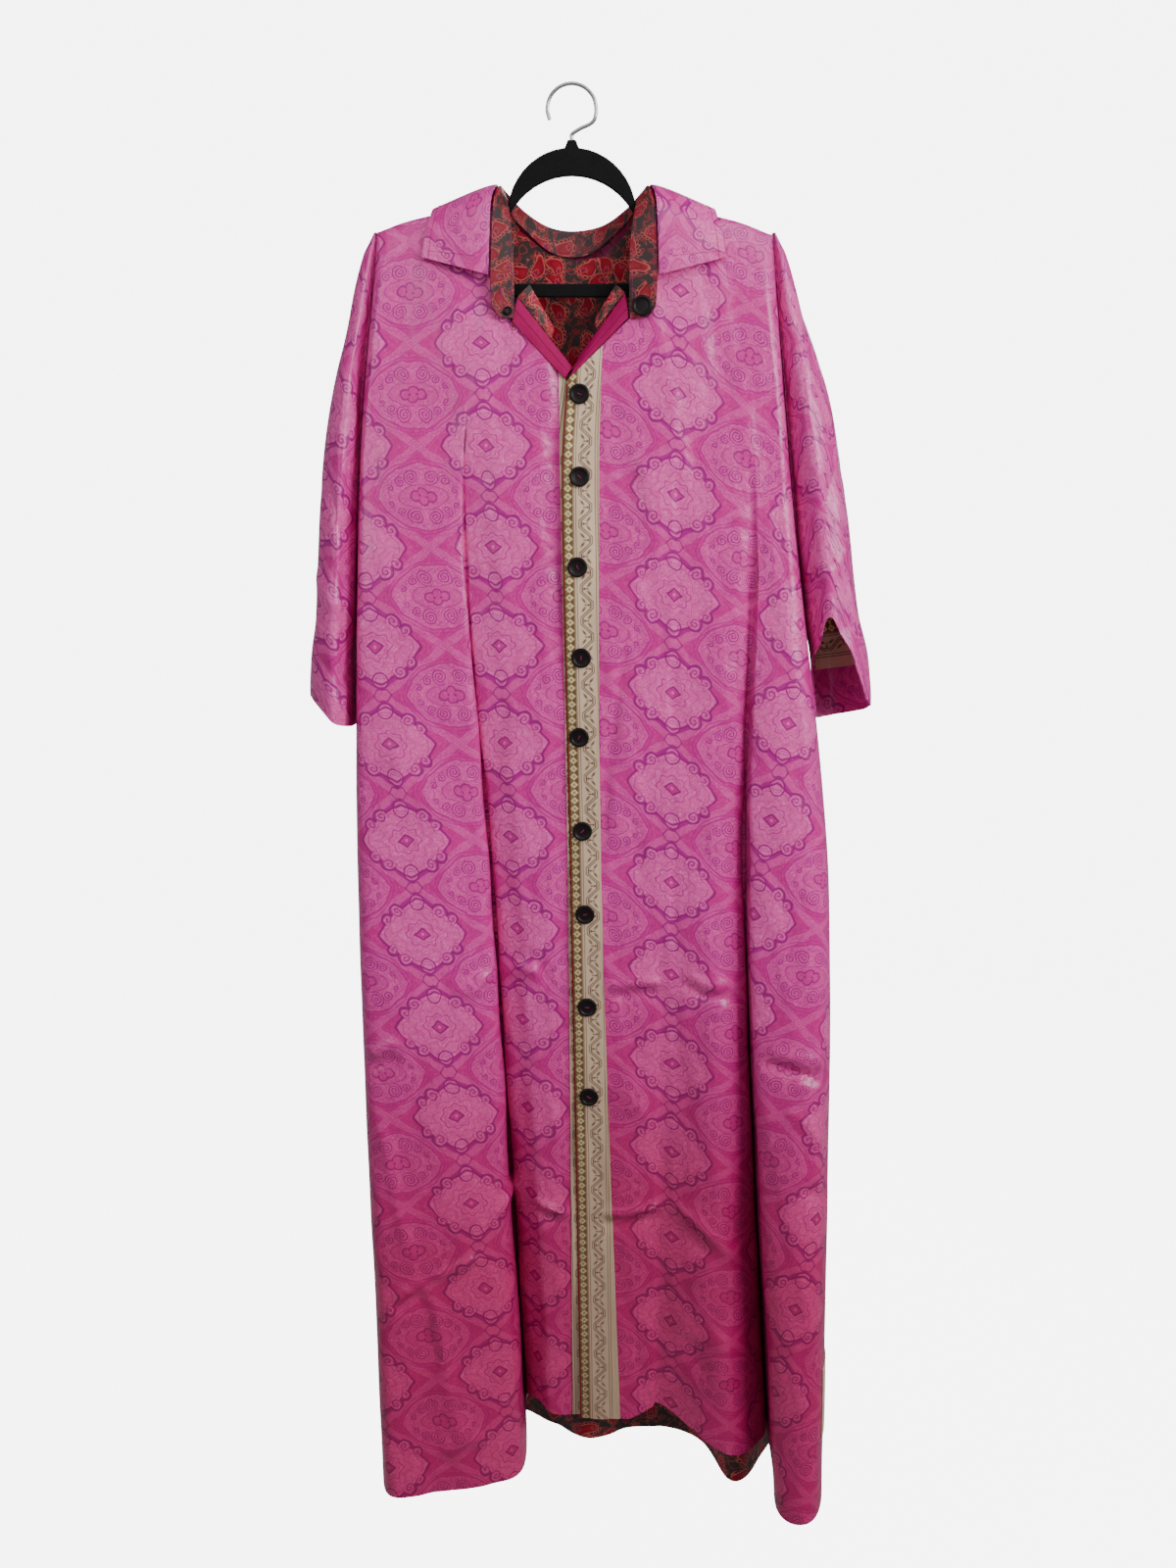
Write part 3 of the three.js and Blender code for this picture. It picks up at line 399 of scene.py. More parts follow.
def panel_grid(panel, creases, turn, phase):
    """The panel's outer face, creased, as columns of points from the top edge to the hem."""
    columns = [line_at(panel, s) for s in stations_of(panel)]
    falls = [made["top_z"] + (made["low"] - made["top_z"]) * ROW_SHARES for made in columns]
    grid = np.array([panel_points(panel, made, z) for made, z in zip(columns, falls)])
    x, z = grid[..., 0], grid[..., 2]
    from_seam = np.array([[made["hug"] ** 2] for made in columns])
    calm = smooth((shoulder_z(x) - z) / CALM_BELOW) * from_seam
    relief = (crease_relief(creases, x, z) + wave_relief(x, z, phase)) * calm
    return grid + grid_normals(grid, turn) * relief[..., None]


LEVELS = np.arange(-95.0, -1516.0, -5.0)  # the heights at which the cloth's width is measured


def cloth_map(panel, grid, grain, origin_z):
    """How far each grid point lies across and down the flat cloth.

    grain is the line (z, x) from which it is measured across, and origin_z the height down from which.
    """
    plain = np.array([panel_points(panel, line_at(panel, s), LEVELS) for s in stations_of(panel)])
    step = np.hypot(*np.moveaxis(np.diff(plain[..., :2], axis=0), -1, 0))
    across = np.concatenate([np.zeros((1, len(LEVELS))), np.cumsum(step, axis=0)])
    away = np.stack([plain_depth(panel["side"], p[:, 0], LEVELS) for p in plain])
    falls = np.hypot(np.diff(LEVELS)[None], np.diff(away, axis=1))
    along = np.concatenate([np.zeros((len(plain), 1)), np.cumsum(falls, axis=1)], axis=1)
    grain_x = np.interp(-LEVELS, [-z for z, x in grain], [x for z, x in grain])
    rising = plain[0, 0, 0] < plain[-1, 0, 0]
    zero = np.empty(len(LEVELS))
    for k, x in enumerate(grain_x):
        xs = plain[:, k, 0] if rising else -plain[:, k, 0]
        zero[k] = np.interp(x if rising else -x, np.maximum.accumulate(xs), across[:, k])
    across = (across - zero) * (1 if rising else -1)
    start = np.interp(-origin_z, -LEVELS, along[len(plain) // 2])
    depth = -grid[..., 2]
    u = np.array([np.interp(d, -LEVELS, row) for d, row in zip(depth, across)])
    v = np.array([np.interp(d, -LEVELS, row) for d, row in zip(depth, along)]) - start
    return np.stack([u, v], axis=-1)


def grid_map(grid, across0=0.0, down0=0.0):
    """The same for a small piece, measured along its own rows and columns."""
    across = np.linalg.norm(np.diff(grid, axis=0), axis=-1).mean(axis=1)
    along = np.linalg.norm(np.diff(grid, axis=1), axis=-1).mean(axis=0)
    u = np.concatenate([[0], np.cumsum(across)]) + across0
    v = np.concatenate([[0], np.cumsum(along)]) + down0
    return np.stack(np.meshgrid(u, v, indexing="ij"), axis=-1)


# Meshes
MAP = "cloth"
MAP_UNITS = 100  # millimetres of cloth in one unit of the map


def mesh_piece(name, points, faces, materials, material_of=None, flat_map=None, sharp=50):
    mesh = bpy.data.meshes.new(name)
    mesh.from_pydata((np.asarray(points, float) * MM).tolist(), [], faces)
    for material in materials:
        mesh.materials.append(material)
    if material_of is not None:
        mesh.polygons.foreach_set("material_index", np.asarray(material_of, np.int32))
    mesh.polygons.foreach_set("use_smooth", np.ones(len(mesh.polygons), bool))
    if flat_map is not None:
        corners = np.empty(len(mesh.loops), np.int32)
        mesh.loops.foreach_get("vertex_index", corners)
        layer = mesh.uv_layers.new(name=MAP)
        unit_map = np.asarray(flat_map)[corners] / MAP_UNITS
        layer.data.foreach_set("uv", unit_map.astype(np.float32).ravel())
    mesh.update()
    if sharp:
        mesh.set_sharp_from_angle(angle=math.radians(sharp))
    made = bpy.data.objects.new(name, mesh)
    bpy.context.scene.collection.objects.link(made)
    return made


def wall(name, grid, turn, inner, flat, materials):
    """A closed wall between a grid and an inner one.

    materials are those of the face, the inside, the edges and, where it differs, the top edge.
    """
    columns, rows = grid.shape[:2]
    outer_at = np.arange(columns * rows).reshape(columns, rows)
    inner_at = outer_at + columns * rows
    a, b, c, d = outer_at[:-1, :-1], outer_at[1:, :-1], outer_at[1:, 1:], outer_at[:-1, 1:]
    face = np.stack([a, b, c, d], -1).reshape(-1, 4)
    back = np.stack([a, d, c, b], -1).reshape(-1, 4) + columns * rows
    edges = (
        (outer_at[:, 0], inner_at[:, 0]), (outer_at[:, -1][::-1], inner_at[:, -1][::-1]),
        (outer_at[0][::-1], inner_at[0][::-1]), (outer_at[-1], inner_at[-1]),
    )
    rims = [np.stack([line[:-1], other[:-1], other[1:], line[1:]], -1) for line, other in edges]
    rim = np.concatenate(rims)
    faces = np.concatenate([face, back, rim])
    if turn < 0:
        faces = faces[:, ::-1]
    top = len(rims[0]) if len(materials) == 4 else 0
    slots = np.repeat([0, 1, 3, 2], [len(face), len(back), top, len(rim) - top])
    points = np.concatenate([grid.reshape(-1, 3), inner.reshape(-1, 3)])
    flat = np.concatenate([flat.reshape(-1, 2)] * 2)
    return mesh_piece(name, points, faces.tolist(), materials, slots, flat)


def placed(piece, nodes=()):
    """Puts a finished piece on the body."""
    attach(piece, "root")
    if nodes:
        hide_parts(*nodes)
    return piece


# Materials
class Shade:
    """A number that changes over a surface. A sum on it adds Math nodes."""

    def __init__(self, dye, socket):
        self.dye, self.socket = dye, socket

    def __add__(self, other):
        return self.dye.math("ADD", self, other)

    __radd__ = __add__

    def __sub__(self, other):
        return self.dye.math("SUBTRACT", self, other)

    def __rsub__(self, other):
        return self.dye.math("SUBTRACT", other, self)

    def __mul__(self, other):
        return self.dye.math("MULTIPLY", self, other)

    __rmul__ = __mul__

    def __truediv__(self, other):
        return self.dye.math("DIVIDE", self, other)

    def __rtruediv__(self, other):
        return self.dye.math("DIVIDE", other, self)

    def __pow__(self, other):
        return self.dye.math("POWER", self, other)

    def __abs__(self):
        return self.dye.math("ABSOLUTE", self)


def paint(red, green, blue):
    """A colour given as it looks on a screen, 0 to 255."""
    def light(value):
        value /= 255
        return value / 12.92 if value <= 0.04045 else ((value + 0.055) / 1.055) ** 2.4

    return (light(red), light(green), light(blue), 1)


class Dye:
    """One material being made."""

    def __init__(self, name):
        self.material = bpy.data.materials.new(name)
        self.material.use_nodes = True
        self.tree = self.material.node_tree
        self.tree.nodes.clear()

    def node(self, kind, settings=None, inputs=None):
        made = self.tree.nodes.new(kind)
        for name, value in (settings or {}).items():
            setattr(made, name, value)
        for name, value in (inputs or {}).items():
            socket = made.inputs[name]
            value = value.socket if isinstance(value, Shade) else value
            if isinstance(value, bpy.types.NodeSocket):
                self.tree.links.new(value, socket)
            else:
                socket.default_value = value
        return made

    def shade(self, kind, settings=None, inputs=None, output=0):
        return Shade(self, self.node(kind, settings, inputs).outputs[output])

    def math(self, operation, *values, clamp=False):
        settings = {"operation": operation, "use_clamp": clamp}
        return self.shade("ShaderNodeMath", settings, dict(enumerate(values)))

    def least(self, first, *others):
        for other in others:
            first = self.math("MINIMUM", first, other)
        return first

    def most(self, first, *others):
        for other in others:
            first = self.math("MAXIMUM", first, other)
        return first

    def vector(self, x, y, z=0.0):
        return self.node("ShaderNodeCombineXYZ", None, {0: x, 1: y, 2: z}).outputs[0]

    def length(self, x, y):
        joined = self.vector(x, y)
        return self.shade("ShaderNodeVectorMath", {"operation": "LENGTH"}, {0: joined}, output=1)

    def inside(self, distance, soft=0.5):
        """1 where distance is below 0."""
        return self.math("MULTIPLY_ADD", distance, -0.5 / soft, 0.5, clamp=True)

    def band(self, distance, half, soft=0.35):
        """1 on a line that far each side of where distance is 0."""
        return self.math("MULTIPLY_ADD", abs(distance), -0.5 / soft, 0.5 + 0.5 * half / soft, clamp=True)

    def noise(self, vector, scale, detail=2.0, rough=0.5, output=0):
        inputs = {"Vector": vector, "Scale": scale, "Detail": detail, "Roughness": rough}
        return self.shade("ShaderNodeTexNoise", None, inputs, output)

    def mix(self, share, first, second, blend="MIX"):
        settings = {"data_type": "RGBA", "blend_type": blend}
        return self.node("ShaderNodeMix", settings, {0: share, 6: first, 7: second}).outputs[2]

    def layers(self, colour, *layers):
        for share, other in layers:
            colour = self.mix(share, colour, other)
        return colour

    def cloth(self):
        """Millimetres across and down the flat cloth."""
        flat = self.node("ShaderNodeUVMap", {"uv_map": MAP}).outputs[0]
        split = self.node("ShaderNodeSeparateXYZ", None, {0: flat})
        return Shade(self, split.outputs[0]) * MAP_UNITS, Shade(self, split.outputs[1]) * MAP_UNITS

    def place(self):
        return self.node("ShaderNodeTexCoord").outputs["Object"]

    def bump(self, height, distance, strength=1.0, under=None):
        inputs = {"Height": height, "Distance": distance, "Strength": strength}
        if under is not None:
            inputs["Normal"] = under
        return self.node("ShaderNodeBump", None, inputs).outputs[0]

    def finish(self, **inputs):
        names = {key.replace("_", " "): value for key, value in inputs.items()}
        surface = self.node("ShaderNodeBsdfPrincipled", None, names)
        self.node("ShaderNodeOutputMaterial", None, {0: surface.outputs[0]})
        return self.material


def curl(dye, x, y, centre, radius, turns, way=1):
    """A rolled scroll: a spiral line of that many turns inside a ringed circle."""
    dx, dy = x - centre[0], y - centre[1]
    r = dye.length(dx, dy)
    pitch = radius / turns
    angle = dye.math("ARCTAN2", dy, dx) * (way / (2 * math.pi))
    phase = dye.math("FRACT", r / pitch + angle)
    line = dye.band((phase - 0.5) * pitch, 0.5, 0.45)
    return line * dye.inside(r - radius, 0.4)


def disc(dye, x, y, centre, radius):
    """How far outside a circle."""
    return dye.length(x - centre[0], y - centre[1]) - radius


PRINT = {"across": 140, "down": 100}  # how far apart the lozenges are
# The rolled scrolls on the lozenge and in the oval: middle, radius, turns, and which way they roll
SCROLLS = [((33, 16.5), 6.2, 1.7, 1), ((21.5, 25), 7.6, 2, -1)]
WHORLS = [((9.8, 19.5), 8.2, 2.8, 1), ((22.5, 15), 5.4, 1.9, -1), ((32.5, 7.5), 3.6, 1.3, 1)]
# The low ink is the colour of painted shade, multiplied in towards the hem.
INKS = {
    "field": paint(210, 30, 136), "pale": paint(247, 106, 184), "line": paint(176, 0, 136),
    "dark": paint(148, 0, 118), "shade": paint(188, 18, 128), "bloom": paint(206, 10, 138),
    "low": paint(215, 158, 172), "bright": paint(255, 160, 210),
}
DRIFT = 5  # how far the print strays from its rule


def medallion(dye, ax, ay):
    """The lobed lozenge: its fill, its faint lines and its dark ones. ax and ay are from its centre."""
    rim = ((ax / 46) ** 1.25 + (ay / 38) ** 1.25) ** 0.8 * 40 - 40
    scrolls = [disc(dye, ax, ay, centre, radius) for centre, radius, _, _ in SCROLLS]
    whole = dye.least(rim, *scrolls)
    curls = [curl(dye, ax, ay, *scroll) for scroll in SCROLLS]
    angle = dye.math("ARCTAN2", ay, ax)
    lobes = dye.math("COSINE", angle * 8)
    reach = dye.length(ax / 1.08, ay / 0.94)
    rosette = dye.most(
        dye.band(reach - 14 - lobes * 1.5, 0.6, 0.5) * 0.9,
        dye.band(reach - 10.4 - lobes, 0.35) * 0.6,
        dye.band(reach - 21 - lobes * 2.6, 0.5) * 0.65,
        dye.band(reach - 23 - lobes * 2.6, 0.3) * 0.4,
    )
    echo = dye.band(whole + 5.6 + dye.math("COSINE", angle * 24) * 0.9, 0.5, 0.5) * 0.7
    feather = dye.band(dye.math("SINE", angle * 14) * reach * 0.07, 0.22, 0.25)
    feathers = feather * dye.inside(24 - reach) * 0.55
    gem = (ax / 8 + ay / 6.4 - 1) * 5
    eye = dye.length(ax, ay) - 2.3
    drop = dye.length(ax * 1.1, ay - 34) - 8.2
    wedge = dye.inside(ay + ax * 0.75 - 46, 0.8) * (1 - dye.inside(rim, 0.8))
    wedge = wedge * dye.inside(ax - 27, 1)
    bead = dye.most(50 - ay - 5.9, ax + (50 - ay) * 0.7 - 8.8)
    return {
        "whole": whole, "drop": drop, "gem": gem, "eye": eye,
        "wedge": wedge * (1 - dye.inside(scrolls[1])) * (1 - dye.inside(drop)),
        "faint": dye.most(
            rosette, echo, feathers * dye.inside(whole + 6), dye.band(drop + 3, 0.45) * 0.7,
            dye.band(eye, 0.5) * 0.8,
        ),
        "strong": dye.most(
            dye.band(whole + 0.2, 1.0, 0.6), *curls, dye.band(gem, 0.8, 0.5), dye.band(drop, 0.75, 0.5),
            dye.band(bead, 0.7, 0.5) * 0.9,
        ),
    }


def pointed_oval(dye, bx, by):
    """The pointed oval between medallions. bx and by are from its centre."""
    rim = dye.length(bx, by + 15.9) - 52.5
    along = dye.math("ARCTAN2", by + 15.9, bx) * 52.5
    pearls = dye.band(rim - 4 + dye.math("SINE", along * (2 * math.pi / 5)) * 1.1, 0.5) * 0.55
    rings = dye.most(
        dye.band(rim, 0.55) * 0.8, dye.band(rim + 3.6, 0.65, 0.5) * 0.9, dye.band(rim + 7.5, 0.35) * 0.4,
    )
    whorls = [curl(dye, bx, by, *whorl) for whorl in WHORLS]
    leaf = dye.least(disc(dye, bx, by, (7.6, 0), 5), disc(dye, bx, by, (0, 3.4), 4.8))
    angle = dye.math("ARCTAN2", by, bx)
    lens = (dye.length(bx / 25, by / 11.6) - 1) * 15
    frill = (dye.length(bx / 34, by / 27) - 1) * 29 + dye.math("COSINE", angle * 20) * 1.2
    point = bx + by * 1.25
    chevron = dye.band((dye.math("FRACT", point / 4.2) - 0.5) * 4.2, 0.5)
    chevron = chevron * dye.inside(37 - point) * dye.inside(rim + 4)
    return {
        "rim": rim, "leaf": leaf, "lens": lens,
        "faint": dye.most(
            pearls, rings, dye.band(lens, 0.55) * 0.7, dye.band(frill, 0.5) * 0.75, chevron * 0.5,
            *whorls,
        ),
        "strong": dye.most(
            dye.band(leaf, 0.75, 0.5) * 0.9, *[whorl * 0.6 for whorl in whorls],
            dye.inside(disc(dye, bx, by, (3.6, 0), 1.1)),
        ),
    }


def strayed(dye, s, t, scale, detail, reach):
    """Across and down the cloth, each shifted a little, so that a print isn't quite regular."""
    inputs = {"Vector": dye.vector(s, t), "Scale": scale, "Detail": detail}
    drift = dye.node("ShaderNodeTexNoise", None, inputs).outputs[1]
    split = dye.node("ShaderNodeSeparateXYZ", None, {0: drift})
    return tuple(at + (Shade(dye, split.outputs[k]) - 0.5) * reach for k, at in enumerate((s, t)))


def figured_satin(name="patterned_satin"):
    """Pink satin printed with a net of scrolled lozenges and pointed ovals."""
    dye = Dye(name)
    s, t = dye.cloth()
    flat = dye.vector(s, t)
    s, t = strayed(dye, s, t, 0.06, 2.0, DRIFT)
    ax, ay = dye.math("PINGPONG", s, PRINT["across"] / 2), dye.math("PINGPONG", t, PRINT["down"] / 2)
    bx, by = PRINT["across"] / 2 - ax, PRINT["down"] / 2 - ay
    lozenge, oval = medallion(dye, ax, ay), pointed_oval(dye, bx, by)

    # The net of light bands, and the rose where the bands cross beside the lozenges
    net = (ax / 70 + ay / 50 - 1) * 40.7
    ribbon = dye.inside(abs(net) - 4.4, 1)
    edges = dye.most(dye.band(abs(net) - 4.6, 0.45) * 0.6, dye.band(net + 8, 0.4) * 0.4)
    cross = bx + ay * 1.15
    rose = dye.band((dye.math("FRACT", cross / 4.4) - 0.5) * 4.4, 0.5) * dye.inside(cross - 15) * 0.5

    # Fine strokes of the print, and slow cloudiness
    fine = dye.noise(flat, 0.4, 4.0, 0.62)
    marble = dye.noise(flat, 0.06, 4.0, 0.6)
    swirl = dye.band((dye.math("FRACT", marble * 12) - 0.5) * 2, 0.2, 0.4) * 0.4
    strokes = dye.noise(dye.vector(s + t, t * 0.35 - s * 0.35), 0.34, 3.0, 0.6)

    inner = dye.inside(lozenge["whole"] + 1.5, 1)
    hollow = dye.inside(oval["rim"] + 4, 1)
    glints = dye.math("MULTIPLY_ADD", strokes, 5, -2.7, clamp=True) * (inner * 0.5 + hollow * 0.25)
    colour = dye.layers(
        INKS["field"],
        (ribbon * 0.4, INKS["pale"]),
        (dye.math("MULTIPLY_ADD", strokes, 2.4, -1.1, clamp=True) * 0.5, INKS["pale"]),
        (inner * dye.math("MULTIPLY_ADD", fine, 1.5, -0.15, clamp=True), INKS["pale"]),
        (hollow * dye.math("MULTIPLY_ADD", fine, 1.5, -0.3, clamp=True), INKS["pale"]),
        (glints, INKS["bright"]),
        (dye.inside(oval["lens"]) * 0.2, INKS["shade"]),
        (swirl * (1 - inner), INKS["line"]),
        (lozenge["wedge"] * 0.8, INKS["line"]),
        (dye.inside(lozenge["drop"]) * 0.6, INKS["pale"]),
        (dye.inside(lozenge["gem"]) * 0.8, INKS["bloom"]),
        (dye.inside(lozenge["eye"]) * 0.8, INKS["pale"]),
        (dye.inside(oval["leaf"]) * 0.4, INKS["bloom"]),
        (dye.most(lozenge["faint"], oval["faint"], edges, rose) * 0.9, INKS["line"]),
        (dye.most(lozenge["strong"], oval["strong"]), INKS["dark"]),
        (dye.math("MULTIPLY_ADD", marble, 3, -1.6, clamp=True) * 0.5, INKS["shade"]),
    )
    # Painted shade: further down the cloth the low ink is multiplied in, so the satin grows darker and
    # redder towards the hem.
    hem_painted_shade = dye.math("MULTIPLY_ADD", t, 0.003, -1.9, clamp=True)
    colour = dye.mix(hem_painted_shade, colour, INKS["low"], "MULTIPLY")
    crumple = dye.noise(flat, 0.022, 4.0, 0.55)
    rumple = dye.noise(dye.vector(s * 1.6, t * 0.7), 0.05, 3.0, 0.5)
    weave = dye.math("SINE", (s + t) * 6.3) * 0.5
    relief = dye.bump(crumple, 0.006, 0.6)
    relief = dye.bump(rumple, 0.0014, 0.5, relief)
    relief = dye.bump(fine * 0.5 + weave * 0.08, 0.0002, 0.5, relief)
    rough = dye.math("MULTIPLY_ADD", fine, 0.14, 0.25)
    return dye.finish(
        Base_Color=colour, Roughness=rough, Normal=relief, Specular_IOR_Level=0.5,
        Sheen_Weight=0.04, Sheen_Roughness=0.35, Sheen_Tint=paint(255, 120, 200), Anisotropic=0.3,
    )


DROP_SPACE = 24  # from one drop of the paisley to the next
PAISLEY_STRAY = 8


def paisley_satin(name="paisley_lining", painted_shade=0.0):
    """Charcoal satin strewn with curled red drops in coral outline. Its last argument darkens all of it
    with painted shade.
    """
    dye = Dye(name)
    s, t = strayed(dye, *dye.cloth(), 0.07, 1.0, PAISLEY_STRAY)
    flat = dye.vector(s, t)
    spread = {"Vector": flat, "Scale": 1 / DROP_SPACE, "Randomness": 0.75}
    cells = dye.node("ShaderNodeTexVoronoi", {"voronoi_dimensions": "2D"}, spread)
    scatter = dye.node("ShaderNodeSeparateColor", None, {0: cells.outputs["Color"]})
    centre = dye.node("ShaderNodeSeparateXYZ", None, {0: cells.outputs["Position"]})
    dx, dy = s - Shade(dye, centre.outputs[0]), t - Shade(dye, centre.outputs[1])
    turned = Shade(dye, scatter.outputs[0]) * (2 * math.pi)
    cosine, sine = dye.math("COSINE", turned), dye.math("SINE", turned)
    u, v = dx * cosine + dy * sine, dy * cosine - dx * sine
    bent = u - v * v * 0.035 + 1.5
    drop = dye.length(bent * 1.25, v * 0.78) - 7.4 - v * 0.26
    around_drop = dye.math("ARCTAN2", v, bent)
    scallop = drop - 3 + dye.math("COSINE", around_drop * 13) * 0.7
    petals = dye.length(bent * 1.25, v + 1.5) - 3 - dye.math("COSINE", around_drop * 6) * 0.8
    fine = dye.noise(flat, 0.3, 3.0, 0.6)
    wander = dye.noise(flat, 0.06, 2.0)
    vine = (dye.math("FRACT", wander * 6) - 0.5) * 14
    dots = dye.inside(dye.math("COSINE", around_drop * 13) * -1 + 0.4, 0.3)
    dots = dots * dye.band(drop - 1.5, 0.5, 0.4)
    coral, crimson = paint(216, 106, 96), paint(166, 4, 38)
    colour = dye.layers(
        paint(58, 44, 44),
        (dye.band(vine, 1.3, 0.5) * 0.9, paint(140, 14, 38)),
        (dye.band(abs(vine) - 1.5, 0.25, 0.4) * 0.5, coral),
        (dye.inside(scallop), paint(96, 20, 36)),
        (dye.band(scallop, 0.35, 0.4) * 0.8, coral),
        (dots * 0.8, coral),
        (dye.inside(drop), crimson),
        (dye.band(drop + 2.4, 0.4, 0.4) * 0.7, paint(84, 4, 24)),
        (dye.band(drop, 0.45, 0.4), coral),
        (dye.inside(petals), paint(140, 0, 62)),
        (dye.band(petals, 0.35, 0.4) * 0.9, coral),
        (dye.math("MULTIPLY_ADD", fine, 2.2, -1.1, clamp=True) * 0.35, paint(40, 16, 22)),
        (painted_shade, paint(40, 16, 22)),
    )
    normal = dye.bump(dye.noise(flat, 0.05, 3.0), 0.002, 0.5)
    return dye.finish(
        Base_Color=colour, Roughness=dye.math("MULTIPLY_ADD", fine, 0.2, 0.4), Normal=normal,
        Specular_IOR_Level=0.3,
    )


def plain_satin(name, colour, deep, rough=0.4, fold=None):
    """Plain satin with the fine ribs of its weave, and a crease at fold millimetres down, raised in
    relief and darkened along it with painted shade.
    """
    dye = Dye(name)
    s, t = dye.cloth()
    flat = dye.vector(s, t)
    fine = dye.noise(flat, 0.35, 3.0, 0.6)
    slow = dye.noise(flat, 0.05, 3.0, 0.6)
    rib = dye.math("SINE", s * 5.2) * 0.5 + 0.5
    # The crease's darker colour is painted shade, and its bump is the crease itself.
    fold_line_and_shade = dye.band(t - fold, 0.6, 0.8) if fold else fine * 0
    tint = dye.layers(
        colour, (fine * 0.3, deep), (slow * 0.4, deep), (rib * 0.12, deep), (fold_line_and_shade * 0.8, deep),
    )
    normal = dye.bump(fine * 0.6 + rib * 0.2 - fold_line_and_shade, 0.0004, 0.6)
    return dye.finish(
        Base_Color=tint, Roughness=fine * 0.2 + rough - 0.1, Normal=normal, Specular_IOR_Level=0.14,
    )


# Across the border: its width, the narrow band's edge, the thin lines, and the middle and half
# width of the zigzag. Down it: the zigzag's repeat and the space between knots.
BAND = {
    "width": 36, "narrow": 9.5, "lines": (10.2, 12.4, 31.6, 34.2), "middle": 21.8, "half": 5.4,
    "repeat": 32.6, "knots": 8.4,
}


def woven_border(name="woven_border"):
    """Beige band: a narrow gold row of lozenges, a wide zigzag with sprigs, and thin lines."""
    dye = Dye(name)
    s, t = dye.cloth()
    flat = dye.vector(s, t)
    fine = dye.noise(flat, 0.5, 3.0, 0.6)
    soft = dye.noise(flat, 0.03, 2.0, 0.5)
    gold = dye.inside(s - BAND["narrow"], 0.3)
    lines = dye.most(*[dye.band(s - at, 0.4, 0.35) for at in BAND["lines"]])

    # Narrow band: a row of pale lozenges with a dark knot in each
    down = dye.math("PINGPONG", t, BAND["knots"] / 2)
    across = abs(s - BAND["narrow"] / 2)
    lozenge = (across / 4 + down / 3.7 - 1) * 2.7
    knot = dye.length(across, down) - 1.3
    pale = dye.most(
        dye.inside(lozenge) * (1 - dye.inside(knot)), dye.inside(knot + 0.75, 0.3) * 0.7,
    )

    # Wide band: a zigzag with blunt corners, and a sprig with two leaves in each of its bays
    quarter = BAND["repeat"] / 4
    fall = dye.math("PINGPONG", t, 2 * quarter)
    side = s - BAND["middle"]
    swing = dye.least(dye.most((fall - quarter) * 1.05, -BAND["half"]), BAND["half"])
    zigzag = dye.band(abs(side - swing) * 0.7 - 0.9, 0.5, 0.35)
    out = side * dye.math("SIGN", quarter - fall) + BAND["half"]
    lean = quarter - abs(fall - quarter)
    leaf_out, leaf_lean = out - 8.4, lean - 4.4
    along, across_leaf = leaf_out * 0.6 + leaf_lean * 0.8, leaf_lean * 0.6 - leaf_out * 0.8
    leaf = dye.length(along / 3, across_leaf / 1.1) * 0.9 - 0.9
    stem = dye.band(lean, 0.5, 0.35) * dye.inside(abs(out - 5.6) - 2.2, 0.4)
    sprig = dye.most(dye.inside(leaf), stem, dye.inside(disc(dye, out, lean, (3.3, 0), 1.2)))
    wide = dye.most(zigzag, sprig) * dye.inside(abs(side) - 6.8, 0.3)
    worn = dye.math("MULTIPLY_ADD", fine, 1.2, 0.3, clamp=True)
    colour = dye.layers(
        paint(224, 198, 166),
        (soft * 0.5, paint(200, 162, 138)),
        (gold, paint(124, 92, 58)),
        (gold * pale, paint(240, 222, 168)),
        (dye.most(lines * 0.9, wide * (1 - gold)) * worn, paint(84, 48, 38)),
        (dye.math("MULTIPLY_ADD", fine, 2.4, -1.3, clamp=True) * 0.4, paint(240, 222, 176)),
        # Painted shade: the band darkens towards the hem, as the satin does.
        (dye.math("MULTIPLY_ADD", t, 0.0009, -0.36, clamp=True) * 0.7, paint(116, 78, 64)),
    )
    rib = dye.math("SINE", t * 4.8) * 0.5
    normal = dye.bump(fine * 0.6 + rib * 0.15 + dye.most(gold * pale, wide) * 0.6, 0.0004, 0.7)
    return dye.finish(
        Base_Color=colour, Roughness=dye.math("MULTIPLY_ADD", fine, 0.2, 0.34), Normal=normal,
        Metallic=gold * 0.45, Specular_IOR_Level=0.4,
    )


def horn(name="dark_horn"):
    dye = Dye(name)
    place = dye.place()
    grain = dye.noise(place, 160.0, 3.0, 0.6)
    fine = dye.noise(place, 900.0, 2.0)
    colour = dye.layers(paint(16, 7, 9), (grain * 0.5, paint(34, 17, 19)), (fine * 0.3, paint(8, 4, 5)))
    return dye.finish(
        Base_Color=colour, Roughness=dye.math("MULTIPLY_ADD", grain, 0.2, 0.3),
        Normal=dye.bump(grain * 0.5 + fine * 0.5, 0.0001, 0.4), Specular_IOR_Level=0.25,
    )


def flocking(name="black_flock"):
    dye = Dye(name)
    fine = dye.noise(dye.place(), 1400.0, 3.0, 0.7)
    worn = dye.noise(dye.place(), 40.0, 3.0, 0.6)
    colour = dye.layers(paint(5, 5, 6), (fine * 0.5, paint(16, 16, 19)), (worn * 0.3, paint(11, 10, 12)))
    return dye.finish(
        Base_Color=colour, Roughness=worn * 0.15 + 0.72, Normal=dye.bump(fine, 0.0003, 0.7),
        Specular_IOR_Level=0.2, Sheen_Weight=0.03, Sheen_Roughness=0.5,
    )


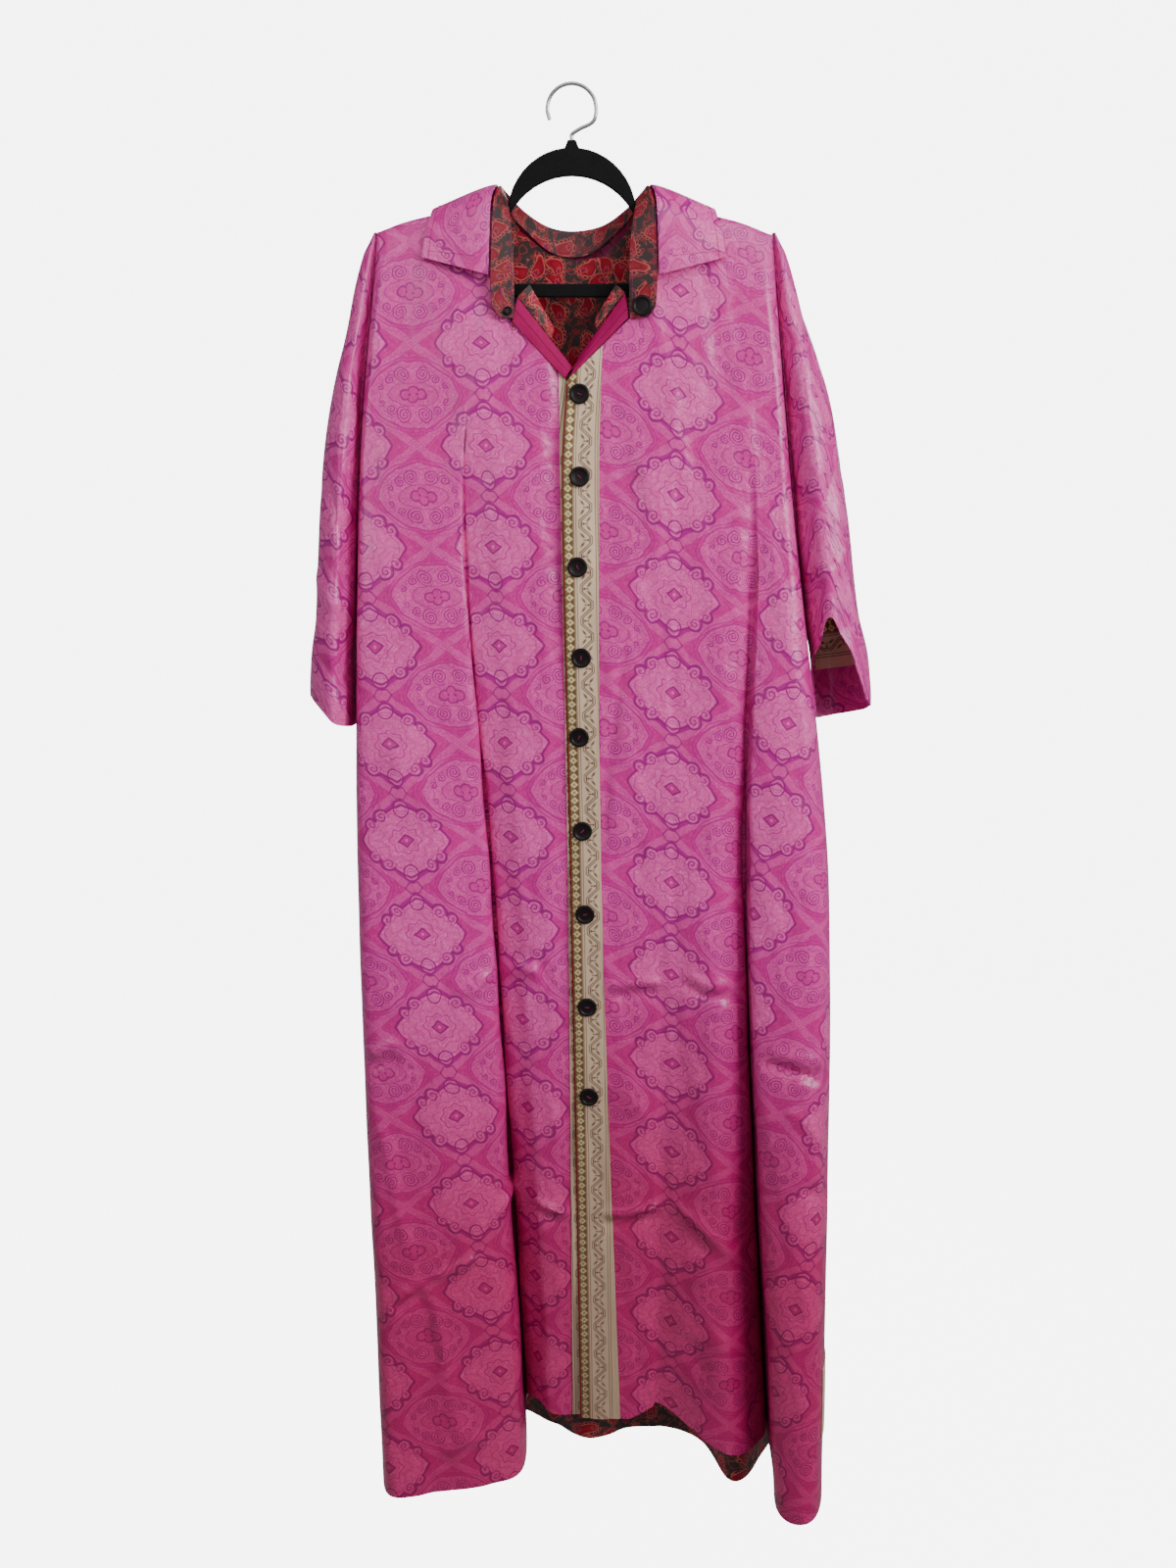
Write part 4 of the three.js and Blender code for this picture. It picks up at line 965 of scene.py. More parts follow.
def drawn_steel(name="drawn_steel"):
    dye = Dye(name)
    split = dye.node("ShaderNodeSeparateXYZ", None, {0: dye.place()})
    x, z = Shade(dye, split.outputs[0]), Shade(dye, split.outputs[2])
    drawn = dye.noise(dye.vector(x * 3000, x * 0, z * 200), 1.0, 3.0, 0.6)
    spots = dye.noise(dye.place(), 120.0, 3.0)
    colour = dye.layers(paint(196, 197, 200), (spots * 0.4, paint(168, 169, 172)))
    return dye.finish(
        Base_Color=colour, Metallic=1.0, Roughness=dye.math("MULTIPLY_ADD", drawn, 0.15, 0.18),
        Normal=dye.bump(drawn, 0.00005, 0.3),
    )


def thread(name, colour):
    dye = Dye(name)
    twist = dye.noise(dye.place(), 2200.0, 2.0)
    tint = dye.layers(colour, (twist * 0.5, tuple(c * 0.55 for c in colour[:3]) + (1,)))
    return dye.finish(Base_Color=tint, Roughness=twist * 0.1 + 0.5, Normal=dye.bump(twist, 0.0001, 0.5))


SATIN, PAISLEY, BORDER = figured_satin(), paisley_satin(), woven_border()
# The collar stand's lining is the paisley darkened all over with painted shade.
SHADED_PAISLEY = paisley_satin("paisley_stand_shaded", 0.35)
MAGENTA = plain_satin("magenta_facing", paint(178, 0, 96), paint(120, 0, 56), 0.6, fold=9)
PIPING = plain_satin("piping", paint(140, 2, 36), paint(84, 0, 18))
HORN, FLOCK, STEEL = horn(), flocking(), drawn_steel()
PINK_THREAD = thread("pink_thread", paint(160, 16, 98))
BEIGE_THREAD = thread("beige_thread", paint(206, 186, 140))

# Body panels
RIGHT_TURN, LEFT_TURN = -1, 1  # which way a panel's columns run, and so which side of it shows
PHASES = {"right": 0.4, "left": 1.9, "back": 3.1, "sleeves": 5.3}  # keep the cloths' waves apart
# The line of the print's lozenges on each panel, as z and x, and the height of one of them
RIGHT_GRAIN = [
    (-100, -92), (-247, -90), (-345, -86), (-441, -80), (-560, -74), (-800, -62), (-1015, -50),
    (-1400, -38),
]
LEFT_GRAIN = [
    (-100, 108), (-228, 107), (-390, 104), (-560, 103), (-800, 103), (-1015, 106), (-1400, 108),
]
BACK_GRAIN = [(-100, 0), (-1500, 16)]
PRINT_STARTS = {"right": -247, "left": -196, "back": -230}
PRINT_SKEW = 0.21  # the left front is cut a little off the grain

right_front = panel_grid(RIGHT_FRONT, FRONT_CREASES, RIGHT_TURN, PHASES["right"])
left_front = panel_grid(LEFT_FRONT, FRONT_CREASES, LEFT_TURN, PHASES["left"])
back = panel_grid(BACK, BACK_CREASES, LEFT_TURN, PHASES["back"])
right_map = cloth_map(RIGHT_FRONT, right_front, RIGHT_GRAIN, PRINT_STARTS["right"])
left_map = cloth_map(LEFT_FRONT, left_front, LEFT_GRAIN, PRINT_STARTS["left"])
left_print = left_map - left_map[..., :1] * [0, PRINT_SKEW]
back_map = cloth_map(BACK, back, BACK_GRAIN, PRINT_STARTS["back"])


def panel_inside(grid, turn, away):
    """The inside of a panel, kept to its own side of the shoulder and side seams."""
    inner = moved(grid, turn, -CLOTH)
    x, y, z = np.moveaxis(inner, -1, 0)
    high = z >= RIDGE["bottom"]
    from_edges = np.minimum(np.abs(grid[0, :, 0] - x), np.abs(grid[-1, :, 0] - x))
    at_seam = from_edges < RIDGE["reach"]
    seam = np.where(high, 0, down(BODY, "seam", z))
    kept_y = seam + away * np.maximum(SEAM / 2, away * (y - seam))
    y = np.where(high | at_seam, kept_y, y)
    x = np.where(high, np.clip(x, *SHOULDER_ENDS), x)
    return np.stack([x, y, z], axis=-1)


def panel_cloth(name, grid, turn, away, flat, nodes):
    """A lined panel that hangs from the hanger."""
    lined = [SATIN, PAISLEY, SATIN, PAISLEY]
    made = wall(name, grid, turn, panel_inside(grid, turn, away), flat, lined)
    return placed(made, nodes)


panel_cloth(
    "front_right_cloth", right_front, RIGHT_TURN, -1, right_map, ["front_right"],
)
panel_cloth(
    "front_left_cloth", left_front, LEFT_TURN, -1, left_print, ["front_left"],
)
panel_cloth(
    "back_cloth", back, LEFT_TURN, 1, back_map, ["back_shoulders", "back_right", "back_left"],
)


def edge_map(flat):
    """Measured from the strip's free edge, its last column."""
    return np.stack([np.abs(flat[-1:, :, 0] - flat[..., 0]), flat[..., 1]], axis=-1)


def strip_wall(name, grid, turn, thickness, flat, materials):
    return wall(name, grid, turn, moved(grid, turn, -thickness), flat, materials)


def border_strip(name, grid, turn, flat, node):
    made = strip_wall(name, grid, turn, THIN, flat, [BORDER] * 3)
    return placed(made, [node])


over_at, under_at = column_of(LEFT_FRONT, "border line"), column_of(RIGHT_FRONT, "border line")
over_border = moved(left_front[over_at:], LEFT_TURN, SEAM + THIN)
under_border = moved(right_front[under_at:], RIGHT_TURN, SEAM + THIN)
border_strip(
    "border_left_band", over_border, LEFT_TURN, edge_map(left_map[over_at:]), "border_left",
)
border_strip(
    "border_right_band", under_border, RIGHT_TURN, edge_map(right_map[under_at:]), "border_right",
)

# The linings that show inside the back's neck and hem, as columns and rows of the back
NECK_PATCH = slice(column_of(BACK, "neck point"), column_of(BACK, "left neck point") + 1), slice(2, 77)
HEM_PATCH = slice(6, -6), slice(-42, None)


def lining_strip(name, patch, node):
    strip = moved(back[patch], LEFT_TURN, -CLOTH - SEAM)
    made = strip_wall(name, strip, LEFT_TURN, THIN, back_map[patch], [PAISLEY] * 3)
    return placed(made, [node])


lining_strip("neck_lining", NECK_PATCH, "lining_neck")
lining_strip("hem_lining", HEM_PATCH, "lining_hem")

# Sleeves: outer is how far one reaches out beside the body, deep and rear how far it stands forward
# and back
SLEEVE_ROW = "z outer deep rear"
SLEEVES = [
    {
        "name": "sleeve_right", "away": -1, "turn": 1, "panel": RIGHT_FRONT,
        "hem": [-634, -632, -624, -606, -600, -606, -620, -632, -634],
        "rows": rows_of(
            SLEEVE_ROW, (-139, 3, 6, 6), (-148, 7, 8, 8), (-160, 12, 11, 11), (-205, 20, 18, 18),
            (-297, 32, 32, 34), (-391, 40, 42, 46), (-490, 43, 50, 58), (-590, 46, 56, 66),
            (-640, 42, 58, 68),
        ),
    },
    {
        "name": "sleeve_left", "away": 1, "turn": -1, "panel": LEFT_FRONT,
        "hem": [-566, -552, -518, -600, -616, -628, -636, -634, -624],
        "rows": rows_of(
            SLEEVE_ROW, (-139, 3, 6, 6), (-148, 7, 8, 8), (-160, 12, 11, 11), (-205, 21, 18, 18),
            (-297, 44, 32, 34), (-391, 55, 42, 46), (-490, 57, 50, 58), (-590, 60, 54, 66),
            (-650, 52, 54, 68),
        ),
    },
]
# Round a sleeve from the armhole over the front and back to it: the share of its reach outwards, and
# of its depth, negative in front. A sleeve's hem has its heights at the same places.
SECTION_OUT = [0, 0.1, 0.42, 0.86, 1, 0.86, 0.45, 0.1, 0]
SECTION_DEPTH = [0, -0.52, -1, -0.66, 0, 0.66, 1, 0.55, 0]
SLEEVE_COLUMNS = 120
SLEEVE_SHARES = np.concatenate([np.linspace(0, 0.05, 12)[:-1], np.linspace(0.05, 1, 120)])
SLEEVE_CLEARANCE, CLEARANCE_RUN = 2.6, 40  # beside the body's side, from just above the armpit
SEAM_SHARE = 0.3  # of its reach, along which a sleeve's halves stay apart at the armhole
SLEEVE_CALM = {"share": 0.12, "top": -150, "run": 60}  # where creases are left out by the armhole
WAVE_DEEPEN = 1.3  # of the sleeve's depth in its waves
SLEEVE_MAP_START = (-60, 20)  # where its cloth begins in the print, across and down


def sleeve_points(sleeve, u):
    """One column of a sleeve; u runs from 0 at the armhole's front to 1 at its back."""
    places = range(len(SECTION_OUT))
    s = u * (len(SECTION_OUT) - 1)
    out, depth, hem = (
        float(curve_at(places, values, s)) for values in (SECTION_OUT, SECTION_DEPTH, sleeve["hem"])
    )
    start = sleeve["rows"][0]["z"]
    z = start + (hem - start) * SLEEVE_SHARES
    below = smooth((ARMPIT + CLEARANCE_RUN - z) / CLEARANCE_RUN)
    room = 2 * SEAM + SLEEVE_CLEARANCE * below
    start_x = column_x(line_at(sleeve["panel"], 0), z) + sleeve["away"] * room
    reach = down(sleeve["rows"], "deep" if depth < 0 else "rear", z)
    least = gape(z) * (1 - smooth(out / SEAM_SHARE))
    y = down(BODY, "seam", z) + (-1 if u < 0.5 else 1) * np.maximum(least, abs(depth) * reach)
    x = start_x + sleeve["away"] * down(sleeve["rows"], "outer", z) * max(0, out)
    return np.stack([x, y, z], axis=-1)


def sleeve_inside(sleeve, grid):
    inner = moved(grid, sleeve["turn"], -CLOTH)
    edge = sleeve["away"] * column_x(line_at(sleeve["panel"], 0), inner[..., 2]) + SEAM
    inner[..., 0] = sleeve["away"] * np.maximum(edge, sleeve["away"] * inner[..., 0])
    return inner


def sleeve_grid(sleeve, phase):
    """A sleeve's outer face, creased, as columns round it from the armhole's front."""
    shares = np.linspace(0, 1, SLEEVE_COLUMNS + 1)
    grid = np.array([sleeve_points(sleeve, u) for u in shares])
    x, y, z = np.moveaxis(grid, -1, 0)
    by_seam = smooth(np.minimum(shares, 1 - shares) / SLEEVE_CALM["share"])[:, None]
    calm = by_seam * smooth((SLEEVE_CALM["top"] - z) / SLEEVE_CALM["run"])
    relief = crease_relief(SLEEVE_CREASES, x, z) + wave_relief(y * WAVE_DEEPEN + x, z, phase)
    return grid + grid_normals(grid, sleeve["turn"]) * (relief * calm)[..., None]


sleeve_faces = []
for number, (sleeve, rests_on) in enumerate(zip(SLEEVES, ("front_right_cloth", "front_left_cloth"))):
    grid = sleeve_grid(sleeve, PHASES["sleeves"] + number)
    flat = grid_map(grid, *SLEEVE_MAP_START)
    inner = sleeve_inside(sleeve, grid)
    made = wall(sleeve["name"] + "_cloth", grid, sleeve["turn"], inner, flat, [SATIN] * 3)
    placed(made, [sleeve["name"]])
    sleeve_faces.append((grid, flat))

# Two patches of the border: inside the left sleeve's end, and on the left front by its side hem
CUFF_PATCH = slice(66, 104), slice(95, 118)
SIDE_PATCH = slice(5, 16), slice(302, 323)
cuff_turn = SLEEVES[1]["turn"]
cuff, cuff_map = (part[CUFF_PATCH] for part in sleeve_faces[1])
cuff_map = cuff_map[..., ::-1] - cuff_map[0, 0, 1]
cuff_map[..., 0] = abs(BAND["width"] - cuff_map[..., 0])  # two widths of the band, edge to edge
border_strip(
    "sleeve_border_band", moved(cuff, cuff_turn, -CLOTH - SEAM), cuff_turn, cuff_map,
    "border_sleeve",
)
side_map = abs(left_map[SIDE_PATCH] - left_map[SIDE_PATCH][0, 0])
border_strip(
    "side_border_band", moved(left_front[SIDE_PATCH], LEFT_TURN, SEAM + THIN), LEFT_TURN, side_map,
    "border_side",
)

# The collar, laid open. seam is on the neck's edge, roll the top of the stand, edge the leaf's outer
# edge, and lift the way the leaf springs up.
COLLAR_ROWS = [
    ((-58, -32, -223), (-71, -35, -222), None, None),
    ((-57, -31, -214), (-78, -35.5, -212), None, None),
    ((-57, -30, -200), (-79.5, -35, -199), None, None),
    ((-57, -28, -182), (-80, -33, -182), (-148, -23, -164), (0, -1, 0)),
    ((-58, -22, -150), (-79, -26.5, -148), (-146, -19, -150), (0, -1, 0)),
    ((-61.5, -14, -124), (-77.5, -15.5, -112), (-142, -14, -132), (0, -0.7, 0.7)),
    ((-65, 0, -107), (-73, 2, -94.5), (-136, 3, -116), (0, 0, 1)),
    ((-61, 12, -121), (-67, 16, -98), (-125, 25, -148), (-0.4, 0.7, 0.6)),
    ((-50, 15.5, -133), (-50, 24, -115), (-85, 30, -190), (0, 1, 0)),
    ((-24, 18.5, -155), (-26, 28, -130), (-42, 34, -202), (0, 1, 0)),
    ((0, 19.5, -161), (0, 29, -135), (0, 34, -205), (0, 1, 0)),
]
ROLL_SHIFT = 4  # the left half's roll and edge lie this much further left
LEAF_SPRING = 4  # how high the leaf springs between its roll and its edge
COLLAR_TURN = 1
STAND_MAP_START, LEAF_MAP_START = (0, 12), (12, 30)
STAND_SHARES = np.linspace(0, 1, 10)[None, :, None]
LEAF_SHARES = np.array([0.03, 0.05, 0.08, 0.12, 0.16, *np.linspace(0.21, 0.98, 22), 1])[None, :, None]


def mirrored(place, shift):
    return place and (-place[0] + shift, place[1], place[2])


def collar_rows():
    shifts = (0, ROLL_SHIFT, ROLL_SHIFT, 0)
    left = [tuple(map(mirrored, row, shifts)) for row in COLLAR_ROWS[-2::-1]]
    return COLLAR_ROWS + left


def around(rows, which, steps=10):
    """One line of the collar, read round the neck."""
    stations = np.linspace(0, len(rows) - 1, (len(rows) - 1) * steps + 1)
    values = np.array([row[which] for row in rows], float)
    return np.stack([curve_at(range(len(rows)), values[:, k], stations) for k in range(3)], axis=-1)


stand_rows = collar_rows()
leaf_rows = [row for row in stand_rows if row[2]]
seam_line, roll_line = (around(stand_rows, k)[:, None] for k in (0, 1))
stand = seam_line + (roll_line - seam_line) * STAND_SHARES
leaf_roll, leaf_edge, leaf_lift = (around(leaf_rows, k)[:, None] for k in (1, 2, 3))
leaf = leaf_roll + (leaf_edge - leaf_roll) * LEAF_SHARES
leaf = leaf + leaf_lift * (SEAM + LEAF_SPRING * np.sin(math.pi * np.sqrt(LEAF_SHARES)))
stand_face = moved(stand, COLLAR_TURN, SEAM + THIN)


def collar_piece(name, grid, thickness, flat, materials, node):
    made = strip_wall(name, grid, COLLAR_TURN, thickness, flat, materials)
    return placed(made, [node])


collar_piece(
    "collar_stand_cloth", stand, COLLAR, grid_map(stand, *STAND_MAP_START), [SHADED_PAISLEY, SATIN, SHADED_PAISLEY],
    "collar_stand",
)
collar_piece(
    "collar_leaf_cloth", leaf, COLLAR, grid_map(leaf, *LEAF_MAP_START), [SATIN] * 3,
    "collar_leaf",
)
collar_piece(
    "stand_lining", stand_face, THIN, grid_map(stand_face), [SHADED_PAISLEY] * 3,
    "lining_stand",
)

# Facings and lining strips that turn in from the edges of the V: the two ends of each one's outer
# edge, those of its inner edge, then its flat size and area
V_STRIPS = [
    ("facing_right", -1, MAGENTA, "magenta", ((-59, -30.5, -226), (-7, -32.5, -281)),
     ((-54, -24, -203), (0, -27, -270)), (0.08, 0.026, 0.0019)),
    ("facing_left", 1, MAGENTA, "magenta", ((56, -30.5, -222), (-2, -34.5, -280)),
     ((53, -24, -199), (9, -27, -258)), (0.08, 0.026, 0.0013)),
    ("lining_right", -1, PAISLEY, "paisley", ((-53.6, -23.6, -202), (-20, -26, -242)),
     ((-42, -19, -190), (-18, -21, -232)), (0.052, 0.018, 0.0008)),
    ("lining_left", 1, PAISLEY, "paisley", ((52.6, -23.6, -198), (24, -25.5, -232)),
     ((44, -19, -190), (24, -21, -222)), (0.052, 0.018, 0.0006)),
]
V_COLUMNS, V_ROWS = 40, 13
V_BOW = {"high": 1.2, "uneven": 0.5, "waves": 9}


def bowed_strip(outer, inner, turn):
    """The face between two edges, bowed out a little unevenly between them."""
    along = np.linspace(0, 1, V_COLUMNS)[:, None, None]
    across = np.linspace(0, 1, V_ROWS)[None, :, None]
    (oa, ob), (ia, ib) = np.array(outer, float), np.array(inner, float)
    grid = (oa + (ob - oa) * along) * (1 - across) + (ia + (ib - ia) * along) * across
    high = V_BOW["high"] + V_BOW["uneven"] * np.sin(along * V_BOW["waves"] + turn)
    grid[..., 1:2] -= high * np.sin(math.pi * across)
    return grid


for name, turn, material, slot, outer, inner, sheet in V_STRIPS:
    grid = bowed_strip(outer, inner, turn)
    made = strip_wall(name + "_cloth", grid, turn, THIN, grid_map(grid), [material] * 3)
    placed(made, [name])


# Cords of cloth and thread
def walked_along(path):
    """The way along a line of points to each of them."""
    return np.concatenate([[0], np.cumsum(np.linalg.norm(np.diff(path, axis=0), axis=1))])


def tube(name, path, radius, material, sides=8):
    """A round strand along a line of points, closed at both ends."""
    path = np.asarray(path, float)
    tangent = np.gradient(path, axis=0)
    tangent /= np.linalg.norm(tangent, axis=1, keepdims=True)
    side = np.cross(tangent, [0.0, 1.0, 0.0])
    side /= np.linalg.norm(side, axis=1, keepdims=True)
    other = np.cross(side, tangent)
    angles = np.linspace(0, 2 * math.pi, sides, endpoint=False)[None, :, None]
    rings = path[:, None] + radius * (side[:, None] * np.cos(angles) + other[:, None] * np.sin(angles))
    count = len(path)
    faces = []
    for i in range(count - 1):
        for k in range(sides):
            a, b = i * sides + k, i * sides + (k + 1) % sides
            faces.append((a, b, b + sides, a + sides))
    faces.append(tuple(range(sides))[::-1])
    faces.append(tuple(range((count - 1) * sides, count * sides)))
    around_map = np.tile(np.arange(sides) * radius, count)
    along_map = np.repeat(walked_along(path), sides)
    flat = np.stack([around_map, along_map], -1)
    return mesh_piece(name, rings.reshape(-1, 3), faces, [material], None, flat, 60)


PIPED_ROWS = slice(4, None, 2)  # of the left front's edge
PIPING_AT = (-0.6, -0.4, 0)  # from that edge
PIPING_RADIUS = 0.8
piping_path = left_front[-1, PIPED_ROWS] + np.array(PIPING_AT)
placed(tube("front_piping", piping_path, PIPING_RADIUS, PIPING))


# Stitches: short rods of thread laid along a line
def stitch_rule():
    tree = bpy.data.node_groups.new("row_of_stitches", "GeometryNodeTree")
    face = tree.interface
    face.new_socket("Geometry", in_out="INPUT", socket_type="NodeSocketGeometry")
    for name in ("Pitch", "Stitch length", "Thread radius"):
        face.new_socket(name, in_out="INPUT", socket_type="NodeSocketFloat")
    face.new_socket("Thread", in_out="INPUT", socket_type="NodeSocketMaterial")
    face.new_socket("Geometry", in_out="OUTPUT", socket_type="NodeSocketGeometry")
    new, link = tree.nodes.new, tree.links.new
    given, out = new("NodeGroupInput"), new("NodeGroupOutput")
    line, spaced = new("GeometryNodeMeshToCurve"), new("GeometryNodeResampleCurve")
    spaced.mode = "LENGTH"
    tangent, turned = new("GeometryNodeInputTangent"), new("FunctionNodeAlignRotationToVector")
    turned.axis = "Z"
    rod, laid = new("GeometryNodeMeshCylinder"), new("GeometryNodeInstanceOnPoints")
    rod.inputs["Vertices"].default_value = 6
    real, dyed = new("GeometryNodeRealizeInstances"), new("GeometryNodeSetMaterial")
    link(given.outputs["Geometry"], line.inputs[0])
    link(line.outputs[0], spaced.inputs["Curve"])
    link(given.outputs["Pitch"], spaced.inputs["Length"])
    link(given.outputs["Stitch length"], rod.inputs["Depth"])
    link(given.outputs["Thread radius"], rod.inputs["Radius"])
    link(spaced.outputs[0], laid.inputs["Points"])
    link(rod.outputs["Mesh"], laid.inputs["Instance"])
    link(tangent.outputs[0], turned.inputs["Vector"])
    link(turned.outputs[0], laid.inputs["Rotation"])
    link(laid.outputs[0], real.inputs[0])
    link(real.outputs[0], dyed.inputs["Geometry"])
    link(given.outputs["Thread"], dyed.inputs["Material"])
    link(dyed.outputs[0], out.inputs[0])
    return tree


STITCH_RULE = stitch_rule()


def stitched(name, paths, material, pitch=3.2, length=2.3, radius=0.28):
    """Rows of stitches along lines of points, as one plain mesh."""
    points, edges = [], []
    for path in paths:
        start = len(points)
        points += (np.asarray(path, float) * MM).tolist()
        edges += [(start + k, start + k + 1) for k in range(len(path) - 1)]
    mesh = bpy.data.meshes.new(name)
    mesh.from_pydata(points, edges, [])
    guide = bpy.data.objects.new(name + "_guide", mesh)
    bpy.context.scene.collection.objects.link(guide)
    rule = guide.modifiers.new("stitches", "NODES")
    rule.node_group = STITCH_RULE
    values = {
        "Pitch": pitch * MM, "Stitch length": length * MM, "Thread radius": radius * MM,
        "Thread": material,
    }
    for item in STITCH_RULE.interface.items_tree:
        if item.in_out == "INPUT" and item.name in values:
            rule[item.identifier] = values[item.name]
    bpy.context.view_layer.update()
    ready = guide.evaluated_get(bpy.context.evaluated_depsgraph_get())
    made = bpy.data.objects.new(name, bpy.data.meshes.new_from_object(ready))
    bpy.context.scene.collection.objects.link(made)
    bpy.data.objects.remove(guide)
    return made


STITCH_LIFT = 0.15  # of the stitches over the cloth
leaf_face, border_face, stand_top = (
    moved(grid, turn, STITCH_LIFT)
    for grid, turn in ((leaf, COLLAR_TURN), (over_border, LEFT_TURN), (stand_face, COLLAR_TURN))
)
leaf_edge_rows = [leaf_face[:, -4], leaf_face[5, 6:-3], leaf_face[-6, 6:-3]]
border_rows = [border_face[k, 6:-2] for k in (1, -2)]
stand_edge_rows = [stand_top[2:-2, k] for k in (1, -2)]
placed(stitched("collar_stitches", leaf_edge_rows, PINK_THREAD))
placed(stitched("border_stitches", border_rows, BEIGE_THREAD, 3.4, 2.4, 0.24))
placed(stitched("stand_stitches", stand_edge_rows, PINK_THREAD, 3, 2.1, 0.24))

# Buttons
FRONT_BUTTONS = [
    (7.2, -296), (7.2, -377), (5.1, -467), (9, -559), (7, -641), (9.9, -740), (12.9, -829),
    (15, -931), (17.1, -1032),
]
COLLAR_BUTTON = (69.5, -211)
# The stand's other end: a small button half hidden by the leaf, and the hole it goes through
STAND_BUTTON, STAND_BUTTON_SHARE = (-63.5, -216), 0.42
STAND_HOLE, STAND_HOLE_HALF, STAND_HOLE_LIFT, STAND_HOLE_RADIUS = (-70, -200), 7, 0.3, 0.55
BUTTON_SEAT = 0.3  # of a button over its cloth
BUTTON_RADIUS = 10.15
# A button's rim and dished face as radius and height, from its underside to its middle
PROFILE = [
    (0, 0), (8.6, 0), (9.6, 0.35), (BUTTON_RADIUS, 1.1), (BUTTON_RADIUS, 1.7), (9.9, 2.4), (9.3, 2.85),
    (8.5, 3), (7.7, 2.85), (7.1, 2.45), (6.7, 2.0), (6.2, 1.8), (3.2, 1.75),
]
MIDDLE_HEIGHT = 1.7
BUTTON_SIDES = 40
# The thread across a button's middle, as radius and height, and how thick it is
TIE = ((-2.2, 1.7), (-1.2, 2.1), (1.2, 2.1), (2.2, 1.7))
TIE_RADIUS = 0.35


def seat_on(grid, turn, x, z):
    """The point of a face at x and z, and the direction outwards there."""
    gap = np.hypot(grid[..., 0] - x, grid[..., 2] - z)
    i, k = np.unravel_index(gap.argmin(), gap.shape)
    normal = grid_normals(grid, turn)[i, k]
    p = grid[i, k].copy()
    y = p[1] - (normal[0] * (x - p[0]) + normal[2] * (z - p[2])) / normal[1]
    return np.array([x, y, z]), normal


def across_button(normal, spin):
    """The direction across a button that is turned by spin on its thread."""
    side = np.cross(normal, [math.sin(spin), 0, math.cos(spin)])
    return side / np.linalg.norm(side)


def button(name, seat, normal, side, share=1.0):
    """A round button with a raised rim round a dished middle; share makes it a smaller one."""
    other = np.cross(normal, side)
    angles = np.linspace(0, 2 * math.pi, BUTTON_SIDES, endpoint=False)
    rim = [math.cos(a) * side + math.sin(a) * other for a in angles]
    points = [seat + normal * PROFILE[0][1]]
    for r, h in PROFILE[1:]:
        points += [seat + share * r * way + normal * h for way in rim]

    def at(ring, k):
        return 1 + ring * BUTTON_SIDES + k % BUTTON_SIDES

    steps, last = range(BUTTON_SIDES), len(PROFILE) - 2
    faces = [(0, at(0, k + 1), at(0, k)) for k in steps]
    for low in range(last):
        faces += [(at(low, k), at(low, k + 1), at(low + 1, k + 1), at(low + 1, k)) for k in steps]
    faces += [(at(last, k), at(last, k + 1), len(points)) for k in steps]
    points.append(seat + normal * MIDDLE_HEIGHT)
    return mesh_piece(name, points, faces, [HORN], sharp=40)


def button_on(name, grid, turn, place, spin, nodes=(), share=1.0):
    """A button seated on a face at place. Returns its seat and the directions out of and across it."""
    seat, normal = seat_on(grid, turn, *place)
    side = across_button(normal, spin)
    seat = seat + normal * BUTTON_SEAT
    placed(button(name, seat, normal, side, share), nodes)
    return seat, normal, side


for number, place in enumerate(FRONT_BUTTONS, start=1):
    seat, normal, side = button_on(
        f"button_{number}_horn", over_border, LEFT_TURN, place, 0.4 * number, [f"button_{number}"],
    )
    tie = [seat + normal * h + side * r for r, h in TIE]
    placed(tube(f"button_{number}_thread", tie, TIE_RADIUS, PINK_THREAD, 6))
button_on("button_collar_horn", stand_face, COLLAR_TURN, COLLAR_BUTTON, 0.9, ["button_collar"])
button_on("button_stand_horn", stand_face, COLLAR_TURN, STAND_BUTTON, 0.2, share=STAND_BUTTON_SHARE)
hole, normal = seat_on(stand_face, COLLAR_TURN, *STAND_HOLE)
heights = np.linspace(STAND_HOLE_HALF, -STAND_HOLE_HALF, 9)
hole_line = [hole + normal * STAND_HOLE_LIFT + np.array([0, 0, height]) for height in heights]
placed(tube("stand_buttonhole", hole_line, STAND_HOLE_RADIUS, PINK_THREAD, 6))

# The hanger: its flocked body is the CAD solid, and its hook a smooth wire
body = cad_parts["hanger_body"]
body.data.materials.clear()
body.data.materials.append(FLOCK)
# The hook's wire radius and bend radius, its neck's points, and the bend's angles and steps
HOOK = {
    "wire": 1.9, "radius": 24, "neck": [(0, 0, -50.7), (0, 0, -46), (7, 0, -41)],
    "angles": (-28, 0, 30, 60, 90, 120, 150, 180, 205), "steps": 160,
}


def hook_line():
    """The wire's middle: up from the hanger's body and round over the rail."""
    centre = HOOK["wire"] - HOOK["radius"]
    route = list(HOOK["neck"])
    for a in np.radians(HOOK["angles"]):
        route.append((HOOK["radius"] * math.cos(a), 0, centre + HOOK["radius"] * math.sin(a)))
    chords = walked_along(np.array(route, float))
    steps = np.linspace(0, chords[-1], HOOK["steps"])
    return np.stack([curve_at(chords, [p[k] for p in route], steps) for k in range(3)], -1)


placed(tube("hook_wire", hook_line(), HOOK["wire"], STEEL, 20), ["hanger_hook"])


